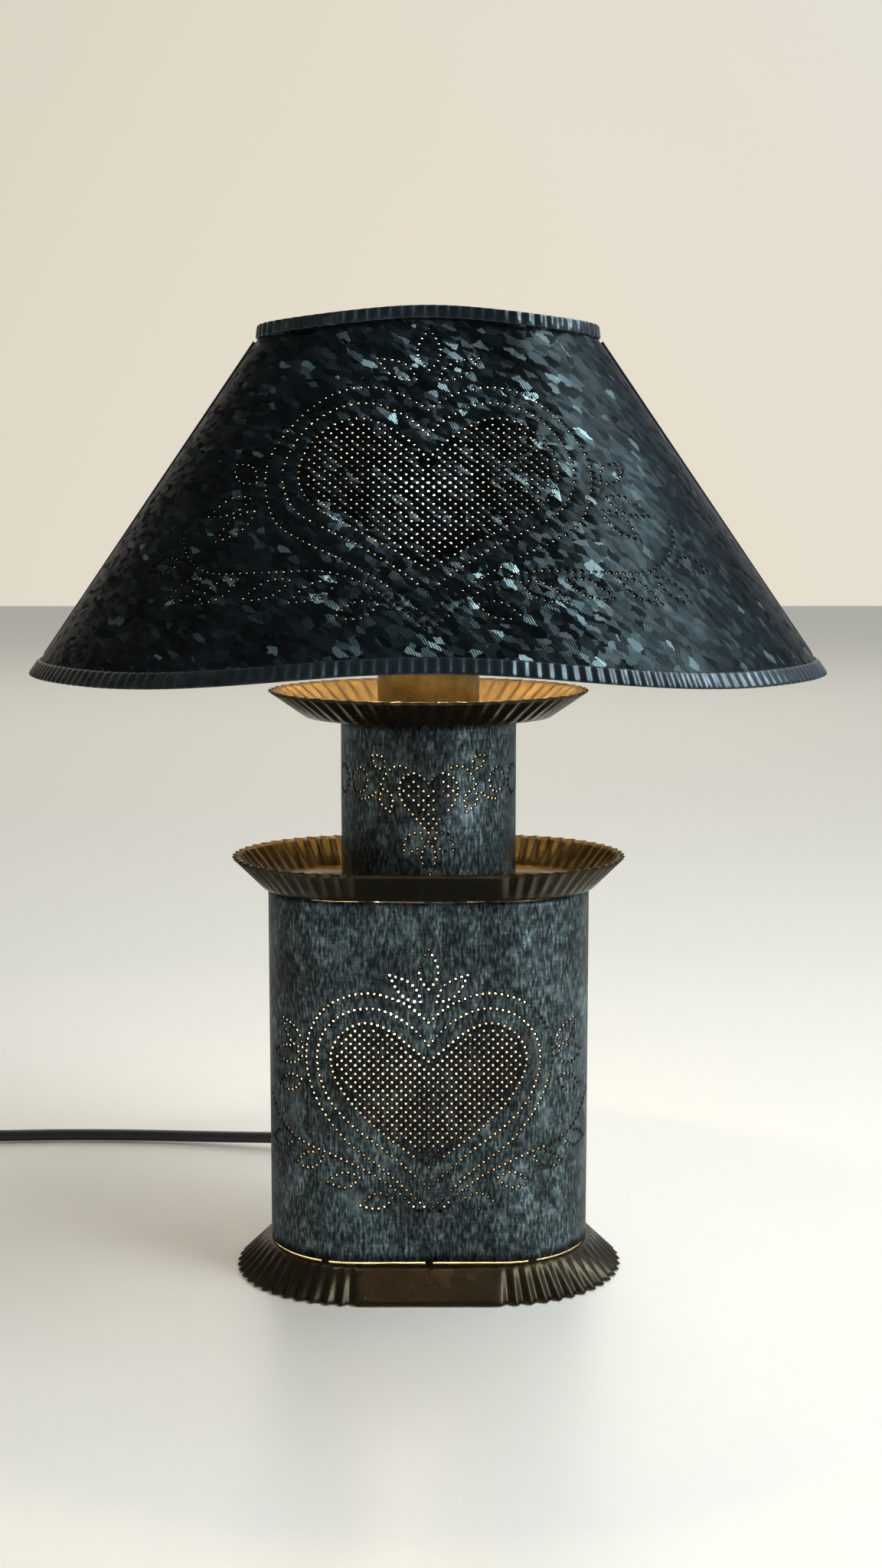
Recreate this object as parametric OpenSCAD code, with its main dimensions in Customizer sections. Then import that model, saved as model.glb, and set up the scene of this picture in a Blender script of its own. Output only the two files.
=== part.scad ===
// Punched tin table lamp: an oval can and two crimped drip pans under an oval shade.
// Millimetres, +Z up, origin on the table under the middle of the base, front towards -Y.

/* [Oval plan] */
// Half of the straight run that every oval piece has
oval_half = 36; // [24:1:50]
// Thickness of the sheet
sheet = 0.6; // [0.4:0.1:1.2]

/* [Oval pans] */
// Height of the base pan and of the oval drip pan
pan_h = 15.5; // [10:0.5:24]
// Radius of the pan's round ends at the rim
pan_rim_r = 65.5; // [60:0.5:76]
// Radius of the pan's round ends at the floor
pan_floor_r = 50; // [49:0.5:54]
// Flutes crimped into each round end
pan_flutes = 26; // [16:1:32]
// Depth of a flute at the rim
flute_depth = 3; // [0.8:0.1:3.6]
// Radius of the round ends of the opening in the base
base_open_r = 36; // [24:1:38]

/* [Body can] */
// Radius of the can's round ends
body_r = 47; // [46:0.5:48]
// Height of the can
body_h = 185.4; // [150:0.2:230]
// Gap between the can's edges and the pans, where light shows
body_gap = 0.8; // [0.5:0.1:2.5]
// Dip of the can's top edge at the middle of the front and back
top_dip = 0.7; // [0:0.1:1.5]
// Half width of that dip
top_dip_w = 28; // [16:1:34]
// Width of the tabs that hold the sheets together
tab_w = 4; // [3:0.5:6]
// Length of the folded part of a tab
tab_fold = 4.5; // [3:0.5:6]
// Distance of the outer tabs at the top from the middle of the front
tab_x = 30; // [16:1:32]
// Place of the outer tabs at the bottom, as a turn round the can's ends from the front
tab_turn = 21; // [12:1:40]
// Height of the cord's hole in the back, above the table
cord_z = 38; // [34:1:60]

/* [Riser and round pan] */
// Radius of the riser tube
riser_r = 45; // [42:0.5:46]
// Height of the riser tube
riser_h = 87.4; // [70:0.2:110]
// Radius of the vents in the oval pan's floor, inside the riser
vent_r = 7; // [4:0.5:7.5]
// Distance of the vents from the middle
vent_ring_r = 30; // [28:0.5:31]
// Height of the round drip pan
round_h = 12.8; // [9:0.2:18]
// Radius of the round pan's rim
round_rim_r = 82; // [74:0.5:90]
// Radius of the round pan's floor
round_floor_r = 63.5; // [58:0.5:68]
// Flutes round the round pan
round_flutes = 56; // [40:2:72]
// Radius of the sleeve round the upper lamp holder
sleeve_r = 26; // [25:0.5:28]
// Height of the sleeve
sleeve_h = 53; // [46:1:54]

/* [Shade] */
// Height of the shade at its ends
shade_h = 171; // [140:0.5:200]
// Radius of the shade's round ends at the bottom
shade_bottom_r = 163.5; // [140:0.5:180]
// Radius of the shade's round ends at the top
shade_top_r = 44.5; // [44:0.5:64]
// Rise of the bottom edge at the middle of the front and back
bottom_wave = 9; // [0:0.5:12]
// Half width of that rise
bottom_wave_w = 155; // [120:5:160]
// Rise of the top edge at the middle of the front and back
top_wave = 6; // [0:0.5:8]
// Half width of that rise
top_wave_w = 80; // [70:1:86]
// Drop of the shade's bottom edge below the seat on the lamp holder
shade_drop = 33.3; // [26:0.1:40]
// Height of the crimped trims
trim_h = 7.5; // [5:0.5:10]
// Pitch of the trims' crimps
crimp_pitch = 5.6; // [4:0.1:9]
// Depth of the trims' crimps
crimp_depth = 0.9; // [0.4:0.1:1.6]
// Width of the strips over the side seams
seam_w = 7; // [5:0.5:10]

/* [Punched pattern] */
// Half of the diagonal of a square punched hole
hole_r = 0.9; // [0.6:0.05:1.2]
// Pitch of the holes along the lines on the can
can_pitch = 7.5; // [6.5:0.1:12]
// Pitch of the holes along the lines on the shade
shade_pitch = 9; // [8:0.1:14]
// Pitch of the holes along the lines on the riser
riser_pitch = 4.4; // [4.2:0.1:7]
// Plain border under the pattern on the can
can_low_border = 26; // [15:0.5:32]
// Plain border over the pattern on the can
can_top_border = 23.5; // [12:0.5:32]
// Plain border beside the pattern on the can, to the middle of the round end
can_side_border = 12.8; // [8:0.2:24]
// Half width of the pattern on the shade, laid flat
shade_half_width = 137; // [110:1:150]
// Plain border under the pattern on the shade, along the slope
shade_low_border = 22; // [14:0.5:30]
// Plain border over the pattern on the shade, along the slope
shade_top_border = 8; // [5:0.5:20]
// Plain border under the pattern on the riser
riser_low_border = 11; // [6:0.5:20]
// Plain border over the pattern on the riser
riser_top_border = 17; // [8:0.5:26]

/* [Lamp holders] */
// Outer radius of the upper lamp holder
socket_r = 19.5; // [18:0.1:20]
// Height of the seat for the shade above the round pan
seat_h = 56.5; // [55:0.5:60]
// Radius of the shade's clamping ring
ring_r = 24; // [23:0.5:26]
// Radius of the upper bulb
bulb_r = 30; // [25:0.5:30]
// Radius of the upper bulb's screw cap
cap_r = 13.2; // [12.5:0.1:13.4]
// Outer radius of the lower lamp holder
small_socket_r = 13.5; // [12.5:0.1:14]
// Distance of the lower lamp holder from the middle, to the left
small_socket_x = 12; // [11:0.5:16]
// Radius of the lower bulb
small_bulb_r = 12; // [10:0.5:13]
// Radius of the lower bulb's screw cap
small_cap_r = 7; // [6.5:0.1:7.2]
// Radius of the threaded nipples
nipple_r = 5; // [4.5:0.1:5.5]
// Radius of the switch knob
knob_r = 6; // [5:0.5:8]
// Height of the knob's axis above the round pan
knob_z = 27; // [20:1:32]

/* [Cord] */
// Diameter of the cord
cord_d = 7; // [6:0.1:7.4]
// Length of the tapered strain relief
boot_l = 28; // [20:1:29]
// Smallest radius of the coil's turns
coil_r = 31; // [29:0.5:36]
// Turns that spiral in, in the lower layer
coil_in = 2.5; // [1.5:1:3.5]
// Turns that spiral out, in the upper layer
coil_out = 2.25; // [1.25:1:3.25]

/* [Hidden] */
$fn = 64;

// Clearances
eps = 0.01;           // overlap of cutting tools
slot_gap = 0.2;       // round a tab in its slot
run_gap = 0.05;       // a turning or seated shaft in its hole
free_gap = 0.3;       // between curved faces of pieces that move apart

// Heights, stacked from the table
base_top = pan_h;
body_z0 = base_top + body_gap;
body_z1 = body_z0 + body_h;
oval_z = body_z1 + body_gap;
riser_z0 = oval_z + sheet;
round_z = riser_z0 + riser_h;
holder_z = round_z + sheet;
seat_z = holder_z + seat_h;

// Shade
shade_z0 = seat_z - shade_drop;
shade_z1 = shade_z0 + shade_h;
shade_slope = (shade_bottom_r - shade_top_r) / shade_h;
shade_wall = sheet * sqrt(1 + shade_slope * shade_slope);
top_trim_h = trim_h * 0.84;
collar = top_trim_h - 1.5;   // height of the top trim above the sheets' edge
trim_seat = 0.15;     // between a trim and the sheet it is soldered to
trim_proud = 1.5;     // how far a crimp stands out from the sheet
trim_lip = 0.6;       // how far the bottom trim reaches below the sheet's edge
collar_lean = 1;      // how far the top trim leans in
wave_steps = 8;       // straight pieces of an edge from its middle to the end of its wave

// Upper lamp: sizes along its axis
seat_flange = 2;
thread_h = 10;
carrier_t = 1.5;
carrier_rim = 2;      // the carrier ring's width outside the clamping ring
arm_w = 12;
arm_flat = 3;         // flat foot of a strap beside the ring
arm_gap = 0.6;        // solder between a strap and the sheet
cap_h = 25;
socket_top = seat_z + thread_h;
cap_z0 = socket_top - cap_h;
contact_h = 2.2;
cap_tip_h = 2;
bore_floor = cap_z0 - cap_tip_h - free_gap - contact_h;
bulb_neck_h = 49;
bulb_centre = socket_top + bulb_neck_h;
glass_t = 0.8;

// Lower lamp: hangs from the oval pan
small_x = -small_socket_x;
small_socket_h = 42;
small_cap_h = 20;
small_neck_h = 22;
small_z = oval_z - small_socket_h;
small_cap_z1 = small_z - 1 + small_cap_h;

// Wiring
block_x = 32;
block_size = [24, 16, 12];
bush_x = 10;
bush_r = 4.5;
lead_r = 2.5;

// Strain relief and cord
boot_hole_r = 6;
boot_flange_r = 9;
boot_flange_t = 2.5;
boot_y = body_r + boot_flange_t + boot_l;
cord_r = cord_d / 2;
cord_sides = 10;
coil_sides = 6;
coil_steps = 24;      // rings in one turn of the coil
coil_gap = 0.6;       // between neighbouring turns
climb_inset = 1.4;    // how far the climb between the layers swings in, clear of its neighbours
tie_t = 0.8;
tie_w = 10;
coil_pitch = cord_d + coil_gap;
coil_z0 = cord_r + tie_t + free_gap;
coil_z1 = coil_z0 + coil_pitch;
coil_start_r = coil_r + coil_pitch * coil_in;
coil_end_r = coil_r + coil_pitch * coil_out;
coil_start = [-334, 207];
coil_mid = [coil_start.x, coil_start.y - coil_start_r];
coil_turn = 360 * (coil_in + 0.5 + coil_out);
plug_z = 7.5;
plug_y = coil_mid.y - 62;
plug_l = 36;
pin_half = 9.5;
pin_r = 2;
pin_l = 19;
cord_path = [[0, boot_y, cord_z], [0, boot_y + 14, cord_z - 0.5], [-2, boot_y + 30, cord_z - 4],
    [-9, 128, 28], [-22, 150, 21], [-45, 170, 14.5], [-72, 184, 9.5], [-101, 194, 6.5],
    [-140, 203, 4.4], [-187, 209, 3.6], [-230, 210, 3.6], [-272, 208, 3.7], [-305, 207, 4.2],
    [coil_start.x, coil_start.y, coil_z0]];
inner_path = [[0, boot_y, cord_z], [0, body_r, cord_z], [0, body_r - 8, cord_z], [0, body_r - 13, cord_z],
    [2.5, 23, cord_z - 2], [9, 13, cord_z - 5.5], [20, 7, cord_z - 9], [34, 5, cord_z - 10],
    [48, 5, cord_z - 5], [59, 4, cord_z + 7], [65, 3, cord_z + 24], [67, 2, cord_z + 46], [65, 1, 110],
    [57, 0, 137], [45, 0, 160], [block_x + 3, 0, oval_z - block_size.z - 16],
    [block_x, 0, oval_z - block_size.z - 7], [block_x, 0, oval_z - block_size.z - 3],
    [block_x, 0, oval_z - block_size.z - run_gap]];
lead_path = [[block_x - block_size.x / 2, 0, oval_z - 6], [bush_x + 6, 0, oval_z - 6],
    [bush_x + 1.5, 0, oval_z - 3.5], [bush_x, 0, oval_z + 2], [bush_x, 0, oval_z + 20],
    [bush_x - 4, 0, round_z - 40], [1, 0, round_z - 20], [0, 0, round_z - 12]];

// Punched pattern, right half: hearts from notch to tip, the vine, leaves as base, tip and width
can_hearts = [
    [[0, 140], [12, 150], [30, 155], [48, 151], [60, 137], [64, 120], [58, 101], [42, 80], [22, 64],
        [0, 43]],
    [[0, 129], [9, 138], [21, 146], [32, 148], [44, 144], [54, 133], [57, 119], [51, 102], [38, 87],
        [20, 73], [0, 55]],
    [[0, 120], [8, 127], [20, 136], [31, 140], [41, 137], [48, 129], [49, 119], [46, 109], [37, 97],
        [22, 82], [0, 66]]];
can_vine = [[6, 43], [14, 51], [24, 59], [36, 66], [50, 72], [62, 75], [74, 79], [85, 86],
    [97, 97]];
can_leaves = [[[4, 151], [19, 165], 8], [[66, 125], [81, 138], 8], [[67, 121], [88, 120], 9],
    [[67, 109], [85, 102], 8], [[18, 50], [35, 46], 8], [[35, 60], [52, 57], 8], [[54, 70],
    [71, 64], 8], [[73, 77], [93, 73], 8]];
can_top_leaf = [[0, 157], [0, 177], 10];
shade_hearts = [
    [[0, 153], [12, 162], [28, 167], [44, 163], [60, 151], [73, 134], [76, 116], [70, 93], [56, 80],
        [38, 69], [18, 56], [0, 39]],
    [[0, 139], [8, 148], [20, 155], [31, 157], [45, 153], [58, 143], [66, 127], [67, 113], [60, 97],
        [45, 86], [28, 75], [10, 62], [0, 52]],
    [[0, 125], [8, 135], [20, 144], [31, 148], [43, 145], [54, 136], [59, 123], [58, 110], [51, 99],
        [36, 88], [16, 75], [0, 65]]];
shade_vine = [[2, 33], [12, 43], [24, 54], [36, 61], [50, 64], [66, 65], [82, 67], [97, 70],
    [108, 77], [115, 87], [118, 98], [117, 106]];
shade_leaves = [[[6, 171], [24, 184], 9], [[80, 118], [93, 133], 9], [[83, 109], [105, 106], 9],
    [[80, 101], [99, 89], 9], [[22, 46], [41, 39], 8], [[41, 58], [62, 48], 8], [[62, 60],
    [84, 52], 8], [[86, 65], [107, 56], 8], [[106, 70], [124, 61], 8], [[119, 84], [137, 87], 8]];
shade_top_leaf = [[0, 177], [0, 202], 11];
riser_heart = [[0, 261], [4, 264], [8, 266], [13, 263], [15, 257], [13, 251], [7, 244], [0, 236]];
riser_scroll = [[11, 268], [14, 269], [18, 268], [21, 266], [24, 262], [25, 259]];
riser_leaves = [[[23, 268], [30, 274], 6], [[24, 257], [20, 246], 7], [[4, 236], [12, 225], 8]];
riser_drop = [[0, 231], [0, 214], 7];
riser_rings = [[39, 261, 6], [55, 260, 7]];

// Colours
tin = "#33424a";
dark_tin = "#4a4338";
brass = "#b08d46";
black = "#1b1b1b";

// Solid between rings of equal length, closed by a flat face at each end
module loft(rings) {
    n = len(rings[0]);
    last = len(rings) - 1;
    sides = [for (k = [0:last - 1], i = [0:n - 1]) let (j = (i + 1) % n, a = k * n, b = a + n)
        each [[a + i, a + j, b + j], [a + i, b + j, b + i]]];
    caps = [[for (i = [n - 1:-1:0]) i], [for (i = [0:n - 1]) last * n + i]];
    polyhedron([for (r = rings) each r], concat(sides, caps), convexity = 8);
}

// Closed band: a section of equal length at every step round a loop
module band(sections) {
    n = len(sections);
    m = len(sections[0]);
    faces = [for (i = [0:n - 1], k = [0:m - 1]) let (j = (i + 1) % n, l = (k + 1) % m)
        each [[i * m + l, j * m + l, j * m + k], [i * m + l, j * m + k, i * m + k]]];
    polyhedron([for (s = sections) each s], faces, convexity = 8);
}

function unit(v) = v / norm(v);

// Smooth curve through points, cut into steps between each pair
function curve_point(p, i, t) = let (n = len(p) - 1, a = p[max(i - 1, 0)], b = p[i],
    c = p[min(i + 1, n)], d = p[min(i + 2, n)])
    0.5 * (2 * b + (c - a) * t + (2 * a - 5 * b + 4 * c - d) * t * t
        + (3 * b - a - 3 * c + d) * t * t * t);
function curve(p, steps) = concat([for (i = [0:len(p) - 2], s = [0:steps - 1]) curve_point(p, i,
    s / steps)],
    [p[len(p) - 1]]);
function tangent(p, i) = unit(p[min(i + 1, len(p) - 1)] - p[max(i - 1, 0)]);

// Tube swept along points; the reference direction is never along the path
module tube(p, r, sides, ref = [0, 0, 1]) {
    loft([for (i = [0:len(p) - 1]) let (t = tangent(p, i), right = unit(cross(t, ref)),
        up = cross(right, t))
        [for (s = [0:sides - 1]) let (a = 360 * (s + 0.5) / sides)
            p[i] + r * (cos(a) * right + sin(a) * up)]]);
}

// Flat oval with round ends
module oval(r) {
    square([2 * oval_half, 2 * r], center = true);
    for (side = [-1, 1]) translate([side * oval_half, 0]) circle(r);
}

module oval_tube(r, h) {
    linear_extrude(h) difference() {
        oval(r);
        oval(r - sheet);
    }
}

module ring(r_out, r_in, h) {
    difference() {
        cylinder(h = h, r = r_out);
        translate([0, 0, -1]) cylinder(h = h + 2, r = r_in);
    }
}

// One ring of a fluted pan wall: full radius on the crests, less in the valleys
function pan_ring(half, r, depth, flutes, z) = let (steps = 4 * flutes, last = half > 0 ? steps : steps - 1)
    [for (end = [0, 1], j = [0:last]) let (a = -90 + 180 * end + 180 * j / steps,
        rr = r - depth * pow(sin(45 * j), 2))
        [(end == 0 ? half : -half) + rr * cos(a), rr * sin(a), z]];

// Pan with its floor at z = 0 and a wall that flares to a fluted rim
module pan(half, floor_r, rim_r, h, flutes) {
    run = rim_r - floor_r;
    wall = sheet * norm([run, h]) / h;
    loft([pan_ring(half, floor_r - wall + run * sheet / h, 0, flutes, sheet),
        pan_ring(half, rim_r - wall, flute_depth, flutes, h),
        pan_ring(half, rim_r, flute_depth, flutes, h),
        pan_ring(half, floor_r, 0, flutes, 0)]);
}

// Points at equal distances along a line
function run_lengths(p) = [for (i = 0, s = 0; i < len(p); s = s + (i < len(p) - 1
    ? norm(p[i + 1] - p[i]) : 0),
    i = i + 1) s];
function evenly(p, pitch) = let (s = run_lengths(p), all = s[len(s) - 1], n = max(2, round(all / pitch)),
    xs = [for (i = [0:len(p) - 1]) [s[i], p[i].x]], ys = [for (i = [0:len(p) - 1]) [s[i], p[i].y]])
    [for (k = [0:n]) [lookup(all * k / n, xs), lookup(all * k / n, ys)]];

// Outline of a leaf: its sides bow out from the line between base and tip
function leaf_side(leaf, t, side) = let (along = leaf[1] - leaf[0])
    leaf[0] + along * t + side * leaf[2] / 2 * sin(180 * pow(t, 0.85)) * unit([-along.y, along.x]);
function leaf_line(leaf) = concat([for (i = [0:12]) leaf_side(leaf, i / 12, 1)],
    [for (i = [11:-1:0]) leaf_side(leaf, i / 12, -1)]);
function heart_line(half) = concat(half, [for (i = [len(half) - 2:-1:1]) [-half[i].x, half[i].y]]);
function ring_line(ring) = [for (a = [0:15:360]) [ring.x + 0.9 * ring[2] * cos(a),
    ring.y + ring[2] * sin(a)]];

// Whether a point lies inside a closed line, and its distance from the line's points
function crossings(p, line) = [for (i = [0:len(line) - 1]) let (a = line[i], b = line[(i + 1) % len(line)])
    if ((a.y > p.y) != (b.y > p.y) && p.x < (b.x - a.x) * (p.y - a.y) / (b.y - a.y) + a.x) i];
function clear_of(p, others, least) = min([for (q = others) norm(p - q)]) >= least;
function filled(line, pitch) = let (lowest = min([for (p = line) p.y]),
    tall = max([for (p = line) p.y]) - lowest,
    wide = max([for (p = line) p.x]), across = pitch * 0.72, up = pitch * 1.4)
    [for (i = [-floor(wide / across):floor(wide / across)], j = [0:floor(tall / up)])
        let (p = [i * across, lowest + (j + abs(i % 2) / 2) * up])
        if (len(crossings(p, line)) % 2 == 1 && clear_of(p, line, pitch * 0.7)) p];

// Points with those left out that come too close to an earlier one
function thinned(p, least, i = 0, kept = []) = i >= len(p) ? kept :
    thinned(p, least, i + 1, len(kept) == 0 || clear_of(p[i], kept, least) ? concat(kept, [p[i]]) : kept);
function mirrored(p) = concat(p, [for (q = p) if (q.x > 0.5) [-q.x, q.y]]);

// All holes of a pattern, and the same fitted between two heights and a half width
function pattern(hearts, vine, leaves, top_leaf, pitch) = thinned(mirrored(concat(
    [for (h = hearts) each evenly(curve(h, 6), pitch)], evenly(curve(vine, 6), pitch),
    [for (l = leaves) each evenly(leaf_line(l), pitch)],
    [for (p = concat(evenly(leaf_line(top_leaf), pitch),
        filled(evenly(heart_line(curve(hearts[len(hearts) - 1], 6)), pitch),
            pitch))) if (p.x > -0.5) p])), pitch * 0.72);
function riser_pattern(pitch) = thinned(mirrored(concat(
    evenly(curve(riser_heart, 6), pitch), evenly(curve(riser_scroll, 6), pitch),
    [for (l = riser_leaves) each evenly(leaf_line(l), pitch)],
        [for (r = riser_rings) each evenly(ring_line(r), pitch)],
    [for (p = concat(evenly(leaf_line(riser_drop), pitch),
        filled(evenly(heart_line(curve(riser_heart, 6)), pitch), pitch))) if (p.x > -0.5) p])),
            pitch * 0.72);
function fitted(p, half_width, low, high) = let (x = max([for (q = p) q.x]), y0 = min([for (q = p) q.y]),
    y1 = max([for (q = p) q.y]))
    [for (q = p) [q.x * half_width / x, low + (q.y - y0) * (high - low) / (y1 - y0)]];

// Square hole through a wall, along +Z
module punch() {
    cylinder(h = 4 * sheet, r = hole_r, center = true, $fn = 4);
}

// Holes through a wall that is rolled round an oval; x runs round it from the middle of the front
module rolled_holes(holes, half, r) {
    for (side = [0, 180], p = holes) let (turn = abs(p.x) > half
        ? sign(p.x) * (abs(p.x) - half) / r * 180 / PI : 0)
        rotate(side) translate([max(-half, min(half, p.x)), 0, p.y]) rotate([90, 0, turn])
            translate([0, 0, r - sheet / 2]) punch();
}

// Places of the can's tabs at its top and bottom: [x, y, direction into the oval]
tab_r = body_r - sheet / 2;
end_tabs = [for (side = [-1, 1]) [side * (oval_half + tab_r), 0, side > 0 ? 180 : 0]];
top_tabs = concat([for (x = [-tab_x, 0, tab_x], side = [-1, 1]) [x, side * tab_r, -90 * side]], end_tabs);
low_tabs = concat([for (side = [-1, 1]) [0, side * tab_r, -90 * side]],
    [for (end = [-1, 1], side = [-1, 1]) [end * (oval_half + tab_r * sin(tab_turn)),
        side * tab_r * cos(tab_turn), atan2(-side * cos(tab_turn), -end * sin(tab_turn))]], end_tabs);
function round_tabs(r) = [for (a = [45:90:315]) [r * cos(a), r * sin(a), a + 180]];

module each_tab(tabs) {
    for (t = tabs) translate([t.x, t.y]) rotate(t.z) children();
}

// Slots for the tabs, through whatever lies between two heights
module tab_slots(tabs, z, h) {
    each_tab(tabs) translate([0, 0, z + h / 2])
        cube([sheet + 2 * slot_gap, tab_w + 2 * slot_gap, h], center = true);
}

// A tab that leaves an edge at z, passes a floor and folds inwards beyond it
module tabs_up(tabs, z, reach) {
    each_tab(tabs) {
        translate([-sheet / 2, -tab_w / 2, z - eps]) cube([sheet, tab_w, reach + sheet + eps]);
        translate([-sheet / 2, -tab_w / 2, z + reach]) cube([tab_fold, tab_w, sheet]);
    }
}

module tabs_down(tabs, z, reach) {
    translate([0, 0, z]) mirror([0, 0, 1]) tabs_up(tabs, 0, reach);
}

module base_pan() {
    color(dark_tin) difference() {
        translate([0, 0, base_top]) mirror([0, 0, 1])
            pan(oval_half, pan_floor_r, pan_rim_r, pan_h, pan_flutes);
        translate([0, 0, base_top - pan_h / 2]) linear_extrude(pan_h) oval(base_open_r);
        tab_slots(low_tabs, base_top - 2 * sheet, 3 * sheet);
    }
}

can_holes = fitted(pattern(can_hearts, can_vine, can_leaves, can_top_leaf, can_pitch),
    oval_half + PI * body_r / 2 - can_side_border, body_z0 + can_low_border, body_z1 - can_top_border);

// Large round that cuts the dip into the can's top edge
dip_r = (top_dip_w * top_dip_w + top_dip * top_dip) / 2 / max(top_dip, eps);

module body_can() {
    color(tin) {
        difference() {
            translate([0, 0, body_z0]) oval_tube(body_r, body_h);
            translate([0, body_r + 1, cord_z]) rotate([90, 0, 0])
                cylinder(h = sheet + 2, r = boot_hole_r + run_gap);
            translate([0, 0, body_z1 - top_dip + dip_r]) rotate([90, 0, 0])
                cylinder(h = 2 * body_r + 2, r = dip_r, center = true);
            rolled_holes(can_holes, oval_half, body_r);
        }
        tabs_down(low_tabs, body_z0, body_gap + sheet);
        for (k = [0:len(top_tabs) - 1]) let (low = top_tabs[k].x == 0 ? top_dip + eps : 0)
            tabs_up([top_tabs[k]], body_z1 - low, body_gap + sheet + low);
    }
}

module oval_pan() {
    color(dark_tin) translate([0, 0, oval_z]) difference() {
        pan(oval_half, pan_floor_r, pan_rim_r, pan_h, pan_flutes);
        tab_slots(top_tabs, -sheet, 3 * sheet);
        tab_slots(round_tabs(riser_r - sheet / 2), -sheet, 3 * sheet);
        translate([small_x, 0, -1]) cylinder(h = 3, r = nipple_r + run_gap);
        translate([bush_x, 0, -1]) cylinder(h = 3, r = bush_r + run_gap);
        for (side = [-90, 90], a = [-45, 0, 45]) rotate(side + a) translate([vent_ring_r, 0, -1])
            cylinder(h = 3, r = vent_r);
    }
}

riser_holes = let (p = riser_pattern(riser_pitch)) fitted(p, max([for (q = p) q.x]),
    riser_z0 + riser_low_border,
    round_z - riser_top_border);

module riser_tube() {
    tabs = round_tabs(riser_r - sheet / 2);
    color(tin) {
        difference() {
            translate([0, 0, riser_z0]) ring(riser_r, riser_r - sheet, riser_h);
            for (side = [-1, 1]) translate([0, side * riser_r, riser_z0])
                cube([tab_w + 2 * slot_gap, 4 * sheet, 2 * (sheet + slot_gap)], center = true);
            rolled_holes(riser_holes, 0, riser_r);
        }
        tabs_down(tabs, riser_z0, sheet);
        tabs_up(tabs, round_z, sheet);
    }
}

module round_pan() {
    color(dark_tin) translate([0, 0, round_z]) difference() {
        pan(0, round_floor_r, round_rim_r, round_h, round_flutes / 2);
        tab_slots(round_tabs(riser_r - sheet / 2), -sheet, 3 * sheet);
        tab_slots(round_tabs(sleeve_r - sheet / 2), -sheet, 3 * sheet);
        translate([0, 0, -1]) cylinder(h = 3, r = nipple_r + run_gap);
    }
}

module candle_sleeve() {
    color(dark_tin) {
        translate([0, 0, holder_z]) difference() {
            ring(sleeve_r, sleeve_r - sheet, sleeve_h);
            translate([0, 0, knob_z]) rotate([0, 90, 0]) cylinder(h = sleeve_r + 1, r = knob_r / 2 + 1);
        }
        tabs_down(round_tabs(sleeve_r - sheet / 2), holder_z, sheet);
    }
}

// Threaded nipple with its wire hole, from below a floor to above it
module nipple(z0, z1) {
    color(brass) translate([0, 0, z0]) ring(nipple_r, nipple_r - 1.3, z1 - z0);
}

module hex_nut(h) {
    difference() {
        cylinder(h = h, r = nipple_r + 3.6, $fn = 6);
        translate([0, 0, -1]) cylinder(h = h + 2, r = nipple_r + run_gap);
    }
}

nut_h = 3.5;
washer_h = 0.8;
nipple_reach = 8;

module upper_socket() {
    color(black) difference() {
        union() {
            translate([0, 0, holder_z]) cylinder(h = socket_top - holder_z, r = socket_r);
            translate([0, 0, seat_z - seat_flange]) cylinder(h = seat_flange, r = ring_r - 1);
        }
        translate([0, 0, bore_floor]) cylinder(h = socket_top, r = cap_r + free_gap);
        translate([0, 0, holder_z - 1]) cylinder(h = nipple_reach + 1, r = nipple_r + run_gap);
        translate([socket_r / 2, 0, holder_z + knob_z]) rotate([0, 90, 0])
            cylinder(h = socket_r, r = knob_r / 2 - 0.5 + run_gap);
    }
}

module upper_contact() {
    color(brass) translate([0, 0, bore_floor]) {
        cylinder(h = contact_h - 0.6, r = 6);
        cylinder(h = contact_h, r = 3);
    }
}

module upper_nipple() {
    nipple(round_z - nipple_reach - 3, holder_z + nipple_reach - run_gap);
}

module upper_nipple_nuts() {
    color(brass) {
        translate([0, 0, round_z - washer_h]) ring(nipple_r + 4, nipple_r + run_gap, washer_h);
        translate([0, 0, round_z - washer_h - nut_h]) hex_nut(nut_h);
    }
}

module shade_ring() {
    low = seat_z + carrier_t + 2 * free_gap;
    grips = 24;
    color(black) translate([0, 0, low]) difference() {
        cylinder(h = socket_top - low - 1.5, r = ring_r);
        translate([0, 0, -1]) cylinder(h = thread_h + 2, r = socket_r + free_gap);
        for (a = [0:360 / grips:359]) rotate(a) translate([ring_r + 0.5, 0, -1])
            cylinder(h = thread_h + 2, r = 1.1, $fn = 16);
    }
}

module switch_knob() {
    shaft_r = knob_r / 2 - 0.5;
    grips = 10;
    knob_l = 13;
    knob_x = sleeve_r + 3;
    color(black) translate([0, 0, holder_z + knob_z]) rotate([0, 90, 0]) {
        translate([0, 0, socket_r / 2 + free_gap]) cylinder(h = knob_x - socket_r / 2, r = shaft_r);
        translate([0, 0, knob_x]) difference() {
            rotate_extrude() polygon([[0, 0], [knob_r - 1, 0], [knob_r, 1.5], [knob_r - 0.6, knob_l - 1.2],
                [knob_r - 2, knob_l], [0, knob_l]]);
            for (a = [0:360 / grips:359]) rotate(a) translate([knob_r + 0.2, 0, 3])
                cylinder(h = knob_l, r = 1);
        }
    }
}

// Profile of a bulb: a neck that swells smoothly into a round end, along the axis
function bulb_radius(t, neck, r) = neck + (r - neck) * (1 - cos(180 * t)) / 2;
function bulb_profile(neck, r, neck_h) = concat(
    [for (t = [0:0.125:0.875]) [bulb_radius(t, neck, r), neck_h * t]],
    [for (a = [0:11.25:78.75]) [r * cos(a), neck_h + r * sin(a)]]);

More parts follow.
